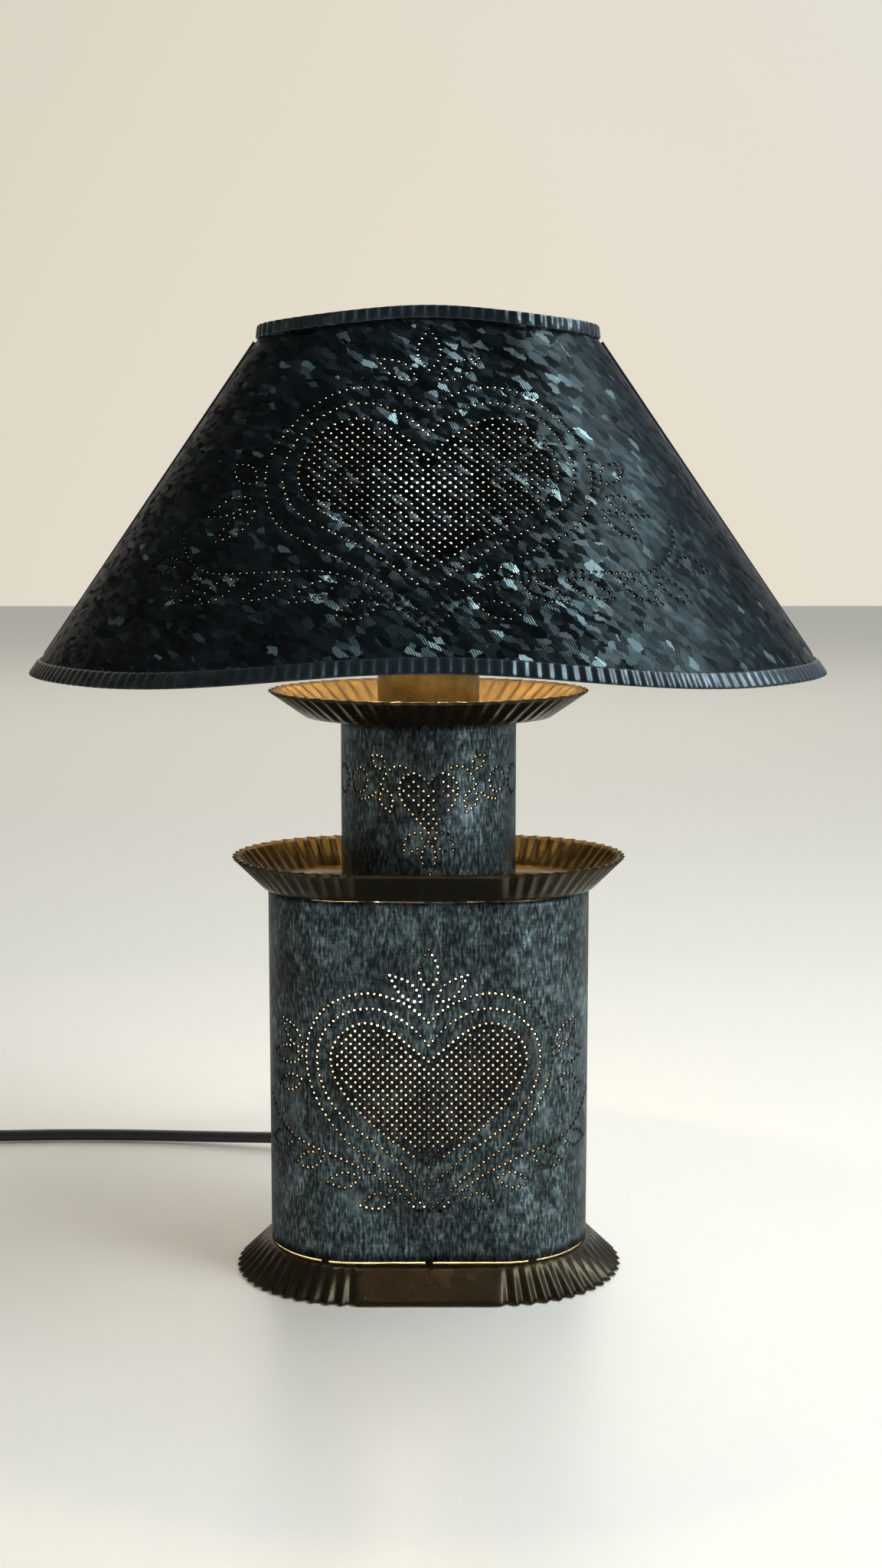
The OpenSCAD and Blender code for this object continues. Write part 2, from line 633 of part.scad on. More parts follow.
module bulb_glass(neck, r, neck_h) {
    outer = bulb_profile(neck, r, neck_h);
    inner = bulb_profile(neck - glass_t, r - glass_t, neck_h);
    n = len(inner) - 1;
    color("#fff0c8", 0.6) rotate_extrude() polygon(concat(outer, [[0, neck_h + r]],
        [[0, neck_h + r - glass_t]], [for (i = [n:-1:0]) inner[i]]));
}

// Screw cap with its rolled thread as rounded rings and the contact at its tip
module bulb_cap(r, h, tip_h, pitch) {
    rings = floor((h - 4) / pitch);
    color("silver") rotate_extrude() polygon(concat([[0, -tip_h], [r * 0.35, -tip_h], [r * 0.72, 0]],
        [for (i = [0:4 * rings]) [r - 0.5 + 0.5 * cos(90 * i), 1.5 + pitch * i / 4]],
        [[r, h], [0, h]]));
}

module upper_bulb_glass() {
    translate([0, 0, socket_top]) bulb_glass(cap_r + 0.8, bulb_r, bulb_centre - socket_top);
}

module upper_bulb_cap() {
    translate([0, 0, cap_z0]) bulb_cap(cap_r, cap_h, cap_tip_h, 3.6);
}

// Glass stem, two support wires and a filament between them
module filament(stem_r, stem_h, height, span) {
    wire_r = 0.5;
    color("gold") {
        cylinder(h = stem_h, r1 = stem_r, r2 = stem_r / 2);
        for (side = [-1, 1]) {
            translate([side * stem_r / 4, 0, stem_h - 1]) rotate([0, side * atan2(span / 2 - stem_r / 4,
                height - stem_h), 0])
                cylinder(h = norm([span / 2 - stem_r / 4, height - stem_h]) + 1, r = wire_r);
        }
        translate([-span / 2, 0, height]) rotate([0, 90, 0]) cylinder(h = span, r = wire_r + 0.3);
    }
}

module upper_filament() {
    translate([0, 0, socket_top]) filament(6, 24, bulb_centre - socket_top, 30);
}

// The lower lamp's pieces are drawn upwards from the cap's plane and hang upside down
module hang(z) {
    translate([small_x, 0, z]) mirror([0, 0, 1]) children();
}

module lower_socket() {
    color(black) difference() {
        translate([small_x, 0, small_z]) cylinder(h = small_socket_h, r = small_socket_r);
        translate([small_x, 0, small_z - 1])
            cylinder(h = small_cap_z1 - small_z + 1 + cap_tip_h + free_gap + contact_h,
                r = small_cap_r + free_gap);
        translate([small_x, 0, oval_z - nipple_reach]) cylinder(h = nipple_reach + 1,
            r = nipple_r + run_gap);
        translate([small_x + small_socket_r - 3, -4, oval_z - 9]) rotate([0, 90, 0])
            cylinder(h = 6, r = lead_r + run_gap);
    }
}

module lower_contact() {
    color(brass) hang(small_cap_z1 + cap_tip_h + free_gap + contact_h) {
        cylinder(h = contact_h - 0.6, r = 4);
        cylinder(h = contact_h, r = 2);
    }
}

module lower_nipple() {
    translate([small_x, 0, 0]) nipple(oval_z - nipple_reach + run_gap, riser_z0 + nut_h + washer_h + 2);
}

module lower_nipple_nuts() {
    color(brass) translate([small_x, 0, riser_z0]) {
        ring(nipple_r + 4, nipple_r + run_gap, washer_h);
        translate([0, 0, washer_h]) hex_nut(nut_h);
    }
}

module lower_bulb_glass() {
    hang(small_cap_z1 - small_cap_h) bulb_glass(small_cap_r + 0.8, small_bulb_r, small_neck_h);
}

module lower_bulb_cap() {
    hang(small_cap_z1) bulb_cap(small_cap_r, small_cap_h, cap_tip_h, 2.8);
}

module lower_filament() {
    hang(small_cap_z1 - small_cap_h) filament(3.5, 10, 21, 12);
}

module terminal_block() {
    color("ivory") translate([block_x, 0, oval_z - block_size.z / 2]) difference() {
        cube(block_size, center = true);
        for (y = [-4, 4]) translate([-block_size.x / 4, y, -block_size.z / 2 - 1]) cylinder(h = 6, r = 2);
        for (y = [-4, 4]) translate([block_size.x / 4, y, -block_size.z / 2 - 1]) cylinder(h = 6, r = 2);
    }
}

module upper_lead() {
    color(black) tube(curve(lead_path, 4), lead_r, 8, [0, 1, 0]);
}

module lower_lead() {
    x0 = small_x + small_socket_r - 2;
    color(black) translate([x0, -4, oval_z - 9]) rotate([0, 90, 0])
        cylinder(h = block_x - block_size.x / 2 - x0, r = lead_r);
}

module cable_bush() {
    color(black) translate([bush_x, 0, 0]) difference() {
        union() {
            translate([0, 0, oval_z - 1.2]) cylinder(h = 1.2, r = bush_r + 1.5);
            translate([0, 0, oval_z - 1.2]) cylinder(h = sheet + 2.4, r = bush_r);
            translate([0, 0, riser_z0]) cylinder(h = 1.2, r = bush_r + 1.5);
        }
        translate([0, 0, oval_z - 3]) cylinder(h = 8, r = lead_r + 3 * run_gap);
    }
}

module inner_cord() {
    color(black) tube(curve(inner_path, 4), cord_r - 0.1, cord_sides, [0, 1, 1]);
}

// Tapered strain relief: a threaded neck through the back of the can, a flange and a ribbed taper
module cord_boot() {
    rib = 3.5;
    ribs = floor((boot_l - 4) / rib);
    neck = sheet + 7;
    color(black) translate([0, body_r - neck, cord_z]) rotate([-90, 0, 0]) difference() {
        rotate_extrude() polygon(concat([[0, 0], [boot_hole_r - 0.05, 0], [boot_hole_r - 0.05, neck],
            [boot_flange_r, neck], [boot_flange_r, neck + boot_flange_t]],
            [for (i = [0:ribs - 1]) each let (y = neck + boot_flange_t + i * rib, r = 7.4 - 2.3 * i / ribs)
                [[r, y], [r - 0.3, y + rib - 1], [r - 1, y + rib - 1], [r - 1, y + rib]]],
            [[4.8, neck + boot_flange_t + boot_l], [0, neck + boot_flange_t + boot_l]]));
        translate([0, 0, -1]) cylinder(h = boot_l + 20, r = cord_r + run_gap);
    }
}

module boot_nut() {
    color(black) translate([0, body_r - sheet, cord_z]) rotate([90, 0, 0]) difference() {
        cylinder(h = 4, r = boot_hole_r + 4, $fn = 6);
        translate([0, 0, -1]) cylinder(h = 6, r = boot_hole_r + run_gap);
    }
}

module mains_cord() {
    color(black) tube(curve(cord_path, 4), cord_r, cord_sides);
}

// Spiral in, climb a layer in half a turn, spiral out, and run off towards the plug
function coil_radius(a) = a < 360 * coil_in ? coil_start_r - coil_pitch * a / 360
    : a < 360 * (coil_in + 0.5) ? coil_r - climb_inset * sin(a - 360 * coil_in)
        : coil_r + coil_pitch * (a / 360 - coil_in - 0.5);
function coil_height(a) = let (t = min(max((a / 360 - coil_in) / 0.5, 0), 1))
    coil_z0 + coil_pitch * (1 - cos(180 * t)) / 2;
function coil_at(a) = [coil_mid.x - coil_radius(a) * sin(a), coil_mid.y + coil_radius(a) * cos(a),
    coil_height(a)];
coil_turns_path = [for (i = [0:round(coil_turn / 360 * coil_steps)]) coil_at(i * 360 / coil_steps)];
coil_end = coil_at(coil_turn);
plug_x = coil_end.x;
coil_path = concat([for (p = coil_turns_path) p], curve([coil_end + [0, -14, 0], coil_end + [0, -30, -1.6],
    coil_end + [0, -44, -3.6], [plug_x, plug_y + cord_d, plug_z + 0.4], [plug_x, plug_y, plug_z]], 3));
coil_gaps = [for (i = [0:len(coil_path) - 1], j = [0:len(coil_path) - 1])
    if (j - i > coil_steps / 2) norm(coil_path[i] - coil_path[j]) - cord_d];

module cord_coil() {
    echo(least_gap_between_turns = min(coil_gaps));
    color(black) tube(coil_path, cord_r, coil_sides);
}

// Flat strap closed round the whole bundle of turns
module cord_tie() {
    low = coil_r - climb_inset - cord_r - free_gap;
    high = coil_start_r - 0.75 * coil_pitch + cord_r + free_gap;
    top = coil_z1 + cord_r + free_gap;
    color(black) translate([coil_mid.x, coil_mid.y, 0]) rotate(-90) translate([-tie_w / 2, 0, 0])
        rotate([90, 0, 90]) linear_extrude(tie_w) difference() {
            translate([low - tie_t, 0]) square([high - low + 2 * tie_t, top + tie_t]);
            translate([low, tie_t]) square([high - low, top - tie_t]);
        }
}

module plug_body() {
    relief_l = 24;
    color(black) translate([plug_x, plug_y, plug_z]) rotate([90, 0, 0]) {
        rotate_extrude() polygon([[0, 0], [4.6, 0], [6, relief_l], [0, relief_l]]);
        hull() {
            translate([0, 0, relief_l - 3]) cylinder(h = 1, r = 6, $fn = 32);
            for (x = [-1, 1]) translate([x * 6, 0, relief_l + 10]) cylinder(h = 1, r = 6.6, $fn = 32);
            for (x = [-1, 1]) translate([x * 7.5, 0, relief_l + plug_l - 6]) cylinder(h = 6, r = 7,
                $fn = 32);
        }
    }
}

module plug_pins() {
    color("silver") translate([plug_x, plug_y - 24 - plug_l, plug_z]) rotate([90, 0, 0])
        for (x = [-1, 1]) translate([x * pin_half, 0, 0]) {
            cylinder(h = pin_l - pin_r, r = pin_r);
            translate([0, 0, pin_l - pin_r]) sphere(pin_r);
        }
}

// Shade: wall radius at a height, and the two waved edges over x
function shade_r(z) = shade_bottom_r - shade_slope * (z - shade_z0);
function wave(x, w) = abs(x) < w ? (1 + cos(180 * x / w)) / 2 : 0;
function bottom_edge(x) = shade_z0 + bottom_wave * wave(x, bottom_wave_w);
function top_edge(x) = shade_z1 + top_wave * wave(x, top_wave_w);

// Solid oval cone between two heights, its wall set in by an inset
module oval_cone(inset, z0, z1) {
    r0 = shade_r(z0) - inset;
    r1 = shade_r(z1) - inset;
    for (side = [-1, 1]) translate([side * oval_half, 0, z0]) cylinder(h = z1 - z0, r1 = r0, r2 = r1);
    translate([-oval_half, 0, 0]) rotate([90, 0, 90]) linear_extrude(2 * oval_half)
        polygon([[-r0, z0], [r0, z0], [r1, z1], [-r1, z1]]);
}

// Everything between the two waved edges
module between_edges() {
    far = oval_half + shade_bottom_r + 10;
    bottom_x = [for (i = [-wave_steps:wave_steps]) i * bottom_wave_w / wave_steps];
    top_x = [for (i = [wave_steps:-1:-wave_steps]) i * top_wave_w / wave_steps];
    translate([0, far, 0]) rotate([90, 0, 0]) linear_extrude(2 * far)
        polygon(concat([[-far, shade_z0]], [for (x = bottom_x) [x, bottom_edge(x)]], [[far, shade_z0]],
            [[far, shade_z1 - collar]], [for (x = top_x) [x, top_edge(x) - collar]], [[-far,
                shade_z1 - collar]]));
}

// Pattern of the shade, on the sheet laid flat: x from the middle, y up the slope from the bottom edge
shade_lean = atan(shade_slope);
shade_apex = shade_bottom_r / sin(shade_lean);
shade_holes = fitted(pattern(shade_hearts, shade_vine, shade_leaves, shade_top_leaf, shade_pitch),
    shade_half_width,
    bottom_wave / cos(shade_lean) + shade_low_border,
    norm([shade_h, shade_bottom_r - shade_top_r]) + (top_wave - collar) / cos(shade_lean) - shade_top_border);

// Holes through the shade's front, square to the wall; the round ends unroll about the cone's tip
module front_holes() {
    for (p = shade_holes) let (round = max(abs(p.x) - oval_half, 0), up = shade_apex - norm([round,
        shade_apex - p.y]),
        turn = sign(p.x) * atan2(round, shade_apex - p.y) / sin(shade_lean))
        translate([sign(p.x) * min(abs(p.x), oval_half), 0, shade_z0 + up * cos(shade_lean)]) rotate(turn)
            translate([0, -(shade_apex - up) * sin(shade_lean), 0]) rotate([90 - shade_lean, 0, 0])
                translate([0, 0, -sheet / 2]) punch();
}

// Half of the shade's wall, in front of or behind the seams
module half_sheet(side) {
    far = oval_half + shade_bottom_r + 20;
    high = shade_z1 + top_wave + 2;
    difference() {
        intersection() {
            difference() {
                oval_cone(0, shade_z0 - 2, high);
                oval_cone(shade_wall, shade_z0 - 3, high + 1);
            }
            between_edges();
            translate([-far, side > 0 ? run_gap : -far, 0]) cube([2 * far, far - run_gap, high + 1]);
        }
        rotate(side > 0 ? 180 : 0) front_holes();
    }
}

module shade_front_sheet() {
    color(tin) half_sheet(-1);
}

module shade_back_sheet() {
    color(tin) half_sheet(1);
}

// Strips over the joints of the half sheets, along the straight line of each end
module shade_side_seams() {
    strip_t = 1.1;
    sag = seam_w * seam_w / 8 / shade_top_r + 0.1;
    length = norm([shade_h, shade_bottom_r - shade_top_r]) - 2.2 * trim_h - 2;
    lean = atan(shade_slope);
    start = shade_z0 + (trim_h + 1) * cos(lean);
    color(tin) for (side = [0, 1]) mirror([side, 0, 0])
        translate([oval_half + shade_r(start), 0, start]) rotate([0, -lean, 0])
            translate([sag, -seam_w / 2, 0]) cube([strip_t, seam_w, length]);
}

// Points round the oval, evenly spaced on the ends and on the straights: [centre x, direction]
function oval_steps(r, pitch) = let (ends = 2 * round(PI * r / pitch),
    flats = 2 * round(2 * oval_half / pitch))
    concat([for (j = [0:ends - 1]) [oval_half, -90 + 180 * j / ends, 0]],
        [for (j = [0:flats - 1]) [oval_half - 2 * oval_half * j / flats, 90, 0]],
        [for (j = [0:ends - 1]) [-oval_half, 90 + 180 * j / ends, 0]],
        [for (j = [0:flats - 1]) [-oval_half + 2 * oval_half * j / flats, -90, 0]]);

// Corner of a trim's section at one of those steps
function oval_corner(s, r, z) = [s.x + r * cos(s.y), r * sin(s.y), z];

module shade_bottom_trim() {
    steps = oval_steps(shade_bottom_r, crimp_pitch);
    color(tin) band([for (i = [0:len(steps) - 1]) let (s = steps[i],
        z = bottom_edge(s.x + shade_bottom_r * cos(s.y)), low = z - trim_lip, high = z + top_trim_h,
        off = i % 2 == 0 ? trim_proud : trim_proud - crimp_depth)
        [oval_corner(s, shade_r(low) + off, low), oval_corner(s, shade_r(high) + off, high),
         oval_corner(s, shade_r(high) + trim_seat, high), oval_corner(s, shade_r(low) + trim_seat, low)]]);
}

module shade_top_trim() {
    steps = oval_steps(shade_top_r, crimp_pitch);
    color(tin) band([for (i = [0:len(steps) - 1]) let (s = steps[i],
        z = top_edge(s.x + shade_top_r * cos(s.y)), r = shade_r(z - top_trim_h),
        off = i % 2 == 0 ? trim_proud : trim_proud - crimp_depth)
        [oval_corner(s, r + off, z - top_trim_h), oval_corner(s, r + off - collar_lean, z),
         oval_corner(s, r + trim_seat - collar_lean, z), oval_corner(s, r + trim_seat, z - top_trim_h)]]);
}

// Ring that sits on the lamp holder's seat
carrier_z = seat_z + free_gap;
carrier_r = ring_r + carrier_rim;

module shade_carrier() {
    color(dark_tin) translate([0, 0, carrier_z]) ring(carrier_r, socket_r + free_gap, carrier_t);
}

// Two straps from the ring up to the inside of the shade's ends
module shade_arms() {
    z = carrier_z + carrier_t / 2;
    inset = shade_wall + (carrier_t / 2 + arm_gap) * sqrt(1 + shade_slope * shade_slope);
    foot_z = shade_z0 + shade_h * 0.8;
    tip_z = shade_z0 + shade_h * 0.93;
    line = [[ring_r, z], [carrier_r + arm_flat, z], [oval_half + shade_r(foot_z) - inset, foot_z],
        [oval_half + shade_r(tip_z) - inset, tip_z]];
    side_a = [for (i = [0:3]) line[i] + strap_normal(line, i) * carrier_t / 2];
    side_b = [for (i = [3:-1:0]) line[i] - strap_normal(line, i) * carrier_t / 2];
    color(dark_tin) for (turn = [0, 180]) rotate(turn) difference() {
        translate([0, arm_w / 2, 0]) rotate([90, 0, 0]) linear_extrude(arm_w) polygon(concat(side_a,
            side_b));
        translate([0, 0, carrier_z - 1]) cylinder(h = carrier_t + 2, r = carrier_r);
    }
}

// Direction across a strap's line at one of its corners, stretched so the thickness is kept
function strap_normal(p, i) = let (a = i > 0 ? unit(p[i] - p[i - 1]) : unit(p[1] - p[0]),
    b = i < len(p) - 1 ? unit(p[i + 1] - p[i]) : a, m = unit(a + b))
    [-m.y, m.x] / (m * a);

base_pan();
body_can();
oval_pan();
riser_tube();
round_pan();
candle_sleeve();
upper_socket();
upper_contact();
upper_nipple();
upper_nipple_nuts();
shade_ring();
switch_knob();
upper_bulb_glass();
upper_bulb_cap();
upper_filament();
lower_socket();
lower_contact();
lower_nipple();
lower_nipple_nuts();
lower_bulb_glass();
lower_bulb_cap();
lower_filament();
terminal_block();
upper_lead();
lower_lead();
cable_bush();
inner_cord();
cord_boot();
boot_nut();
mains_cord();
cord_coil();
cord_tie();
plug_body();
plug_pins();
shade_front_sheet();
shade_back_sheet();
shade_side_seams();
shade_top_trim();
shade_bottom_trim();
shade_carrier();
shade_arms();
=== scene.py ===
"""Dresses a punched tin table lamp: sheets with real punched holes, crimped pans and trims, cord and lit bulbs."""
import math

import bpy
import bmesh
import numpy as np
from bpy.props import FloatProperty, FloatVectorProperty, IntProperty, PointerProperty
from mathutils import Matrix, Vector
from mathutils.geometry import delaunay_2d_cdt


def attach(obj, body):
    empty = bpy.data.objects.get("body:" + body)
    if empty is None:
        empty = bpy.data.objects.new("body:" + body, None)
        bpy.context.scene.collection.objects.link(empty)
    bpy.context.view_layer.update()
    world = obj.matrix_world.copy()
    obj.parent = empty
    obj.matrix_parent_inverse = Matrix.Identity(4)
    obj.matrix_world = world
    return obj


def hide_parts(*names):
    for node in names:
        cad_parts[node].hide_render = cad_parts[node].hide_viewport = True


bl_info = {
    "name": "Punched tin table lamp",
    "version": (1, 0, 0),
    "blender": (4, 5, 0),
    "location": "View3D > Sidebar > Tin lamp",
    "description": "Punched shade, can and riser, crimped pans and trims, cord and lit bulbs on the packed frame",
    "category": "Object",
}

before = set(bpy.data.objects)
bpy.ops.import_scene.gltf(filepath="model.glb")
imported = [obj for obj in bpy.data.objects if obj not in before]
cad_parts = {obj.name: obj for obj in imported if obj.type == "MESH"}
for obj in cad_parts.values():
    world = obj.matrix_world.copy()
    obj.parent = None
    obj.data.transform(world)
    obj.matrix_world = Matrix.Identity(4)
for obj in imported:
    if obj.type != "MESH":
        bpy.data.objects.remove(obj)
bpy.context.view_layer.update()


# Sizes and colours

def length(name, default, description):
    """A property that holds a length in metres."""
    return FloatProperty(name=name, default=default, description=description, min=0.0, precision=5,
                         subtype="DISTANCE", unit="LENGTH")


def colour(name, default, description):
    """A property that holds a colour."""
    return FloatVectorProperty(name=name, default=default, description=description, size=3, min=0.0, max=1.0,
                               subtype="COLOR")


class TinLampSizes(bpy.types.PropertyGroup):
    """Lengths and counts of the lamp's sheets"""
    oval_half: length("Half straight", 0.036, "Half of the straight run of every oval piece")
    sheet: length("Sheet", 0.0006, "Thickness of the sheets")
    can_r: length("Can end radius", 0.047, "Radius of the can's round ends")
    riser_r: length("Riser radius", 0.045, "Radius of the riser tube")
    can_hole_r: length("Can hole radius", 0.00053, "Radius of a punched hole in the can")
    riser_hole_r: length("Riser hole radius", 0.0005, "Radius of a punched hole in the riser")
    shade_hole_r: length("Shade hole radius", 0.00040, "Radius of a punched hole in the shade")
    dent: length("Dent depth", 0.0005, "Depth of the dent at the hole")
    pan_rim_r: length("Oval rim radius", 0.0655, "Radius of the oval pans' ends at the rim")
    pan_floor_r: length("Oval floor radius", 0.050, "Radius of the oval pans' ends at the floor")
    round_rim_r: length("Round rim radius", 0.082, "Radius of the round pan's rim")
    round_floor_r: length("Round floor radius", 0.0635, "Radius of the round pan's floor")
    flute: length("Flute depth", 0.0030, "Depth of a flute at the rim")
    pan_flutes: IntProperty(name="Flutes", default=26, min=8, description="Flutes in each end of an oval pan")
    round_flutes: IntProperty(name="Round flutes", default=56, min=8, description="Flutes round the round pan")
    shade_bottom_r: length("Shade bottom radius", 0.1635, "Radius of the shade's ends at the bottom")
    shade_top_r: length("Shade top radius", 0.0445, "Radius of the shade's ends at the top")
    shade_z0: length("Shade bottom", 0.3143, "Height of the bottom edge at the ends")
    shade_h: length("Shade height", 0.171, "Height of the shade at its ends")
    crimp: length("Crimp pitch", 0.0056, "Pitch of the trims' crimps")
    cord_d: length("Cord diameter", 0.007, "Diameter of the mains cord")


class TinLampColours(bpy.types.PropertyGroup):
    """Colours of the lamp's finishes"""
    shade_dark: colour("Shade", (0.0145, 0.0205, 0.0225), "Ground colour of the spangled sheet")
    shade_flake: colour("Shade flakes", (0.32, 0.45, 0.48), "Colour of the brightest flakes")
    can_dark: colour("Can", (0.033, 0.045, 0.049), "Ground colour of the streaked sheet")
    can_pale: colour("Can streaks", (0.172, 0.233, 0.250), "Colour of the pale streaks and patches")
    pan: colour("Pans", (0.039, 0.031, 0.018), "Colour of the crimped pans' outer faces")
    # Painted light: the pans' inner faces are a lighter, golder copy of the pans' colour, standing for the bulbs'
    # warm light falling into them
    pan_inside_lit: colour("Pan insides", (0.145, 0.100, 0.037), "Colour of the crimped pans' inner faces")
    # Painted light: the tin sleeve gets a lighter, golden tone that stands for the upper bulb's warm light on it
    sleeve: colour("Sleeve", (0.27, 0.20, 0.085), "Colour of the sleeve round the upper holder")
    trim: colour("Trims", (0.043, 0.055, 0.061), "Colour of the crimped trims")
    inside: colour("Inside", (0.62, 0.57, 0.48), "Colour of the sheets' inner faces")
    cord: colour("Cord", (0.012, 0.012, 0.013), "Colour of the cord")
    glow: colour("Glow", (1.0, 0.76, 0.48), "Colour of the lit filaments")


def sizes():
    """The lamp's sizes in this scene."""
    return bpy.context.scene.tin_lamp_sizes


def colours():
    """The lamp's colours in this scene."""
    return bpy.context.scene.tin_lamp_colours


# Shapes

def smooth_line(points, steps):
    """Catmull-Rom curve through the points, cut into equal steps of its parameter between each pair."""
    p = np.asarray(points, float)
    ends = np.vstack([p[:1], p, p[-1:]])
    a, b, c, d = (q[:, None, :] for q in (ends[:-3], ends[1:-2], ends[2:-1], ends[3:]))
    t = (np.arange(steps) / steps)[None, :, None]
    s = 0.5 * (2 * b + (c - a) * t + (2 * a - 5 * b + 4 * c - d) * t ** 2 + (3 * b - a - 3 * c + d) * t ** 3)
    return np.vstack([s.reshape(-1, p.shape[1]), p[-1:]])


def evenly(line, pitch):
    """Points at equal distances along a line, as near to the pitch as whole steps allow."""
    s = np.concatenate([[0.0], np.cumsum(np.linalg.norm(np.diff(line, axis=0), axis=1))])
    at = np.linspace(0.0, s[-1], max(2, int(round(s[-1] / pitch))) + 1)
    return np.stack([np.interp(at, s, line[:, k]) for k in range(line.shape[1])], 1)


def mirrored(points):
    """The points and their mirror images about the upright middle line."""
    p = np.asarray(points, float)
    return np.vstack([p, p * [-1, 1]])


def heart_outline(half):
    """Closed heart: a smooth curve through the right half's points, from notch to tip, and back on the left."""
    right = smooth_line(half, 10)
    return np.vstack([right, (right * [-1, 1])[-2:0:-1]])


def leaf_outline(base, tip, width):
    """Leaf: two sides that bow out from the line between base and tip by half the width times a sine."""
    base, tip = np.array(base, float), np.array(tip, float)
    along = tip - base
    across = np.array([-along[1], along[0]]) / np.hypot(*along)
    t = np.linspace(0, 1, 30)[:, None]
    bow = width / 2 * np.sin(np.pi * t ** 0.85)
    return np.vstack([base + along * t + across * bow, (base + along * t - across * bow)[-2::-1]])


def ring_outline(centre, r, squash=1.0):
    """Closed circle or upright oval of points."""
    a = np.linspace(0, 2 * np.pi, 40)
    return np.asarray(centre, float) + np.stack([r * squash * np.cos(a), r * np.sin(a)], 1)


def circle(centre, r, n):
    """Points of a circle round each centre."""
    a = np.linspace(0, 2 * np.pi, n, endpoint=False)
    return np.asarray(centre, float) + r * np.stack([np.cos(a), np.sin(a)], 1)


def inside_of(points, polygon):
    """True for points inside a closed polygon, by counting the edges crossed by a ray to the right."""
    x, y = points[:, 0][:, None], points[:, 1][:, None]
    x0, y0 = polygon[:, 0][None], polygon[:, 1][None]
    x1, y1 = np.roll(polygon[:, 0], -1)[None], np.roll(polygon[:, 1], -1)[None]
    rise = np.where(y1 == y0, 1e-12, y1 - y0)
    hit = ((y0 > y) != (y1 > y)) & (x < (x1 - x0) * (y - y0) / rise + x0)
    return hit.sum(1) % 2 == 1


def nearest(points, others):
    """Distance of each point from the nearest of the others."""
    out = np.full(len(points), 1e9)
    for part in np.array_split(np.asarray(others), max(1, len(others) // 400)):
        out = np.minimum(out, np.sqrt(((points[:, None] - part[None]) ** 2).sum(2)).min(1))
    return out


def staggered(polygon, across, up, margin):
    """Staggered rows of dots inside a polygon, kept off its outline by a margin."""
    lo, hi = polygon.min(0), polygon.max(0)
    n, m = int((hi[0] - lo[0]) / across) + 2, int((hi[1] - lo[1]) / up) + 2
    i, j = np.meshgrid(np.arange(-n, n + 1), np.arange(m + 1), indexing="ij")
    dots = np.stack([(i * across).ravel(), (lo[1] + (j + (i % 2) / 2) * up).ravel()], 1)
    dots = dots[inside_of(dots, polygon)]
    return dots[nearest(dots, polygon) > margin]


def thinned(dots, least):
    """Dots with those left out that come closer than the least distance to an earlier one."""
    far = np.sqrt(((dots[:, None] - dots[None]) ** 2).sum(2)) >= least
    keep = np.ones(len(dots), bool)
    for i in range(1, len(dots)):
        keep[i] = np.all(far[i, :i] | ~keep[:i])
    return dots[keep]


# The punched pattern's right half, in millimetres on the flat sheet: hearts from notch to tip, vines, and leaves
# as base, tip and width
CAN_HEARTS = [[(0, 140.5), (12, 150), (30, 155.4), (48, 150.6), (60, 137), (63.6, 120), (58, 101), (42, 80),
               (22, 64), (0, 43)],
              [(0, 128.8), (9, 138.5), (21, 145.8), (32, 147.6), (44, 144), (54, 133.5), (57, 119), (51, 101.5),
               (38, 87), (20, 73), (0, 55)],
              [(0, 120.5), (8, 127), (20, 136.5), (31, 140.2), (41, 137), (48, 128.5), (49.4, 119.5), (46, 109.5),
               (37, 97), (22, 82.5), (0, 65.8)]]
CAN_VINE = [(5.5, 43), (14, 51.5), (24, 59.5), (36, 66.3), (49.5, 72.2), (62, 75.5), (74, 79.5), (85, 86.5),
            (97, 97.5)]
CAN_LEAVES = [((4, 151), (19.5, 164.6), 7.5), ((66, 125.5), (81, 138.5), 8), ((66.5, 121), (88.5, 120), 9),
              ((67, 109), (85, 102.5), 8), ((18.5, 50), (34.5, 46), 8), ((35, 60.5), (51.5, 57.5), 8),
              ((54, 70.5), (71, 64.5), 8), ((72.5, 77), (93, 73.5), 8)]
CAN_TOP_LEAF = ((0, 157.5), (0, 177.5), 9.5)

SHADE_HEARTS = [[(0, 153.5), (12, 162.3), (28, 166.8), (44, 163), (60, 151.5), (73, 134), (76, 116), (70, 93.5),
                 (56, 80.5), (38, 69.5), (18, 56), (0, 39.5)],
                [(0, 139.2), (8, 147.8), (20, 155.5), (31, 157.4), (45, 153.2), (58, 143), (66.5, 127), (67, 113),
                 (60, 97.5), (45, 86), (28, 75.5), (10, 62), (0, 52)],
                [(0, 125), (8, 135), (20, 144.5), (31, 148.6), (43, 145.5), (54, 136), (59.5, 123), (58.5, 110.5),
                 (51, 99), (36, 88.5), (16, 75.5), (0, 65)]]
SHADE_VINE = [(1.5, 33), (12, 43.5), (24, 54), (36, 60.8), (50, 64.4), (66, 65.3), (82, 67.4), (97, 70.4),
              (108, 77), (115, 87), (118.5, 98), (117.5, 106)]
SHADE_LEAVES = [((5.5, 171.5), (24, 184), 9), ((80.5, 118), (93.5, 133.5), 9), ((83, 109.5), (105, 106), 9.5),
                ((80.5, 101.5), (99.5, 89.5), 9.5), ((22.5, 46.5), (41.5, 39.5), 8.5), ((41, 58), (62, 48.5), 8.5),
                ((62, 60.5), (84.5, 52.5), 8.5), ((86.5, 65), (107.5, 56), 8.5), ((106, 70.5), (124.5, 61), 8.5),
                ((119, 84.5), (137.5, 87), 8.5)]
SHADE_TOP_LEAF = ((0.5, 177), (0.5, 202), 11)

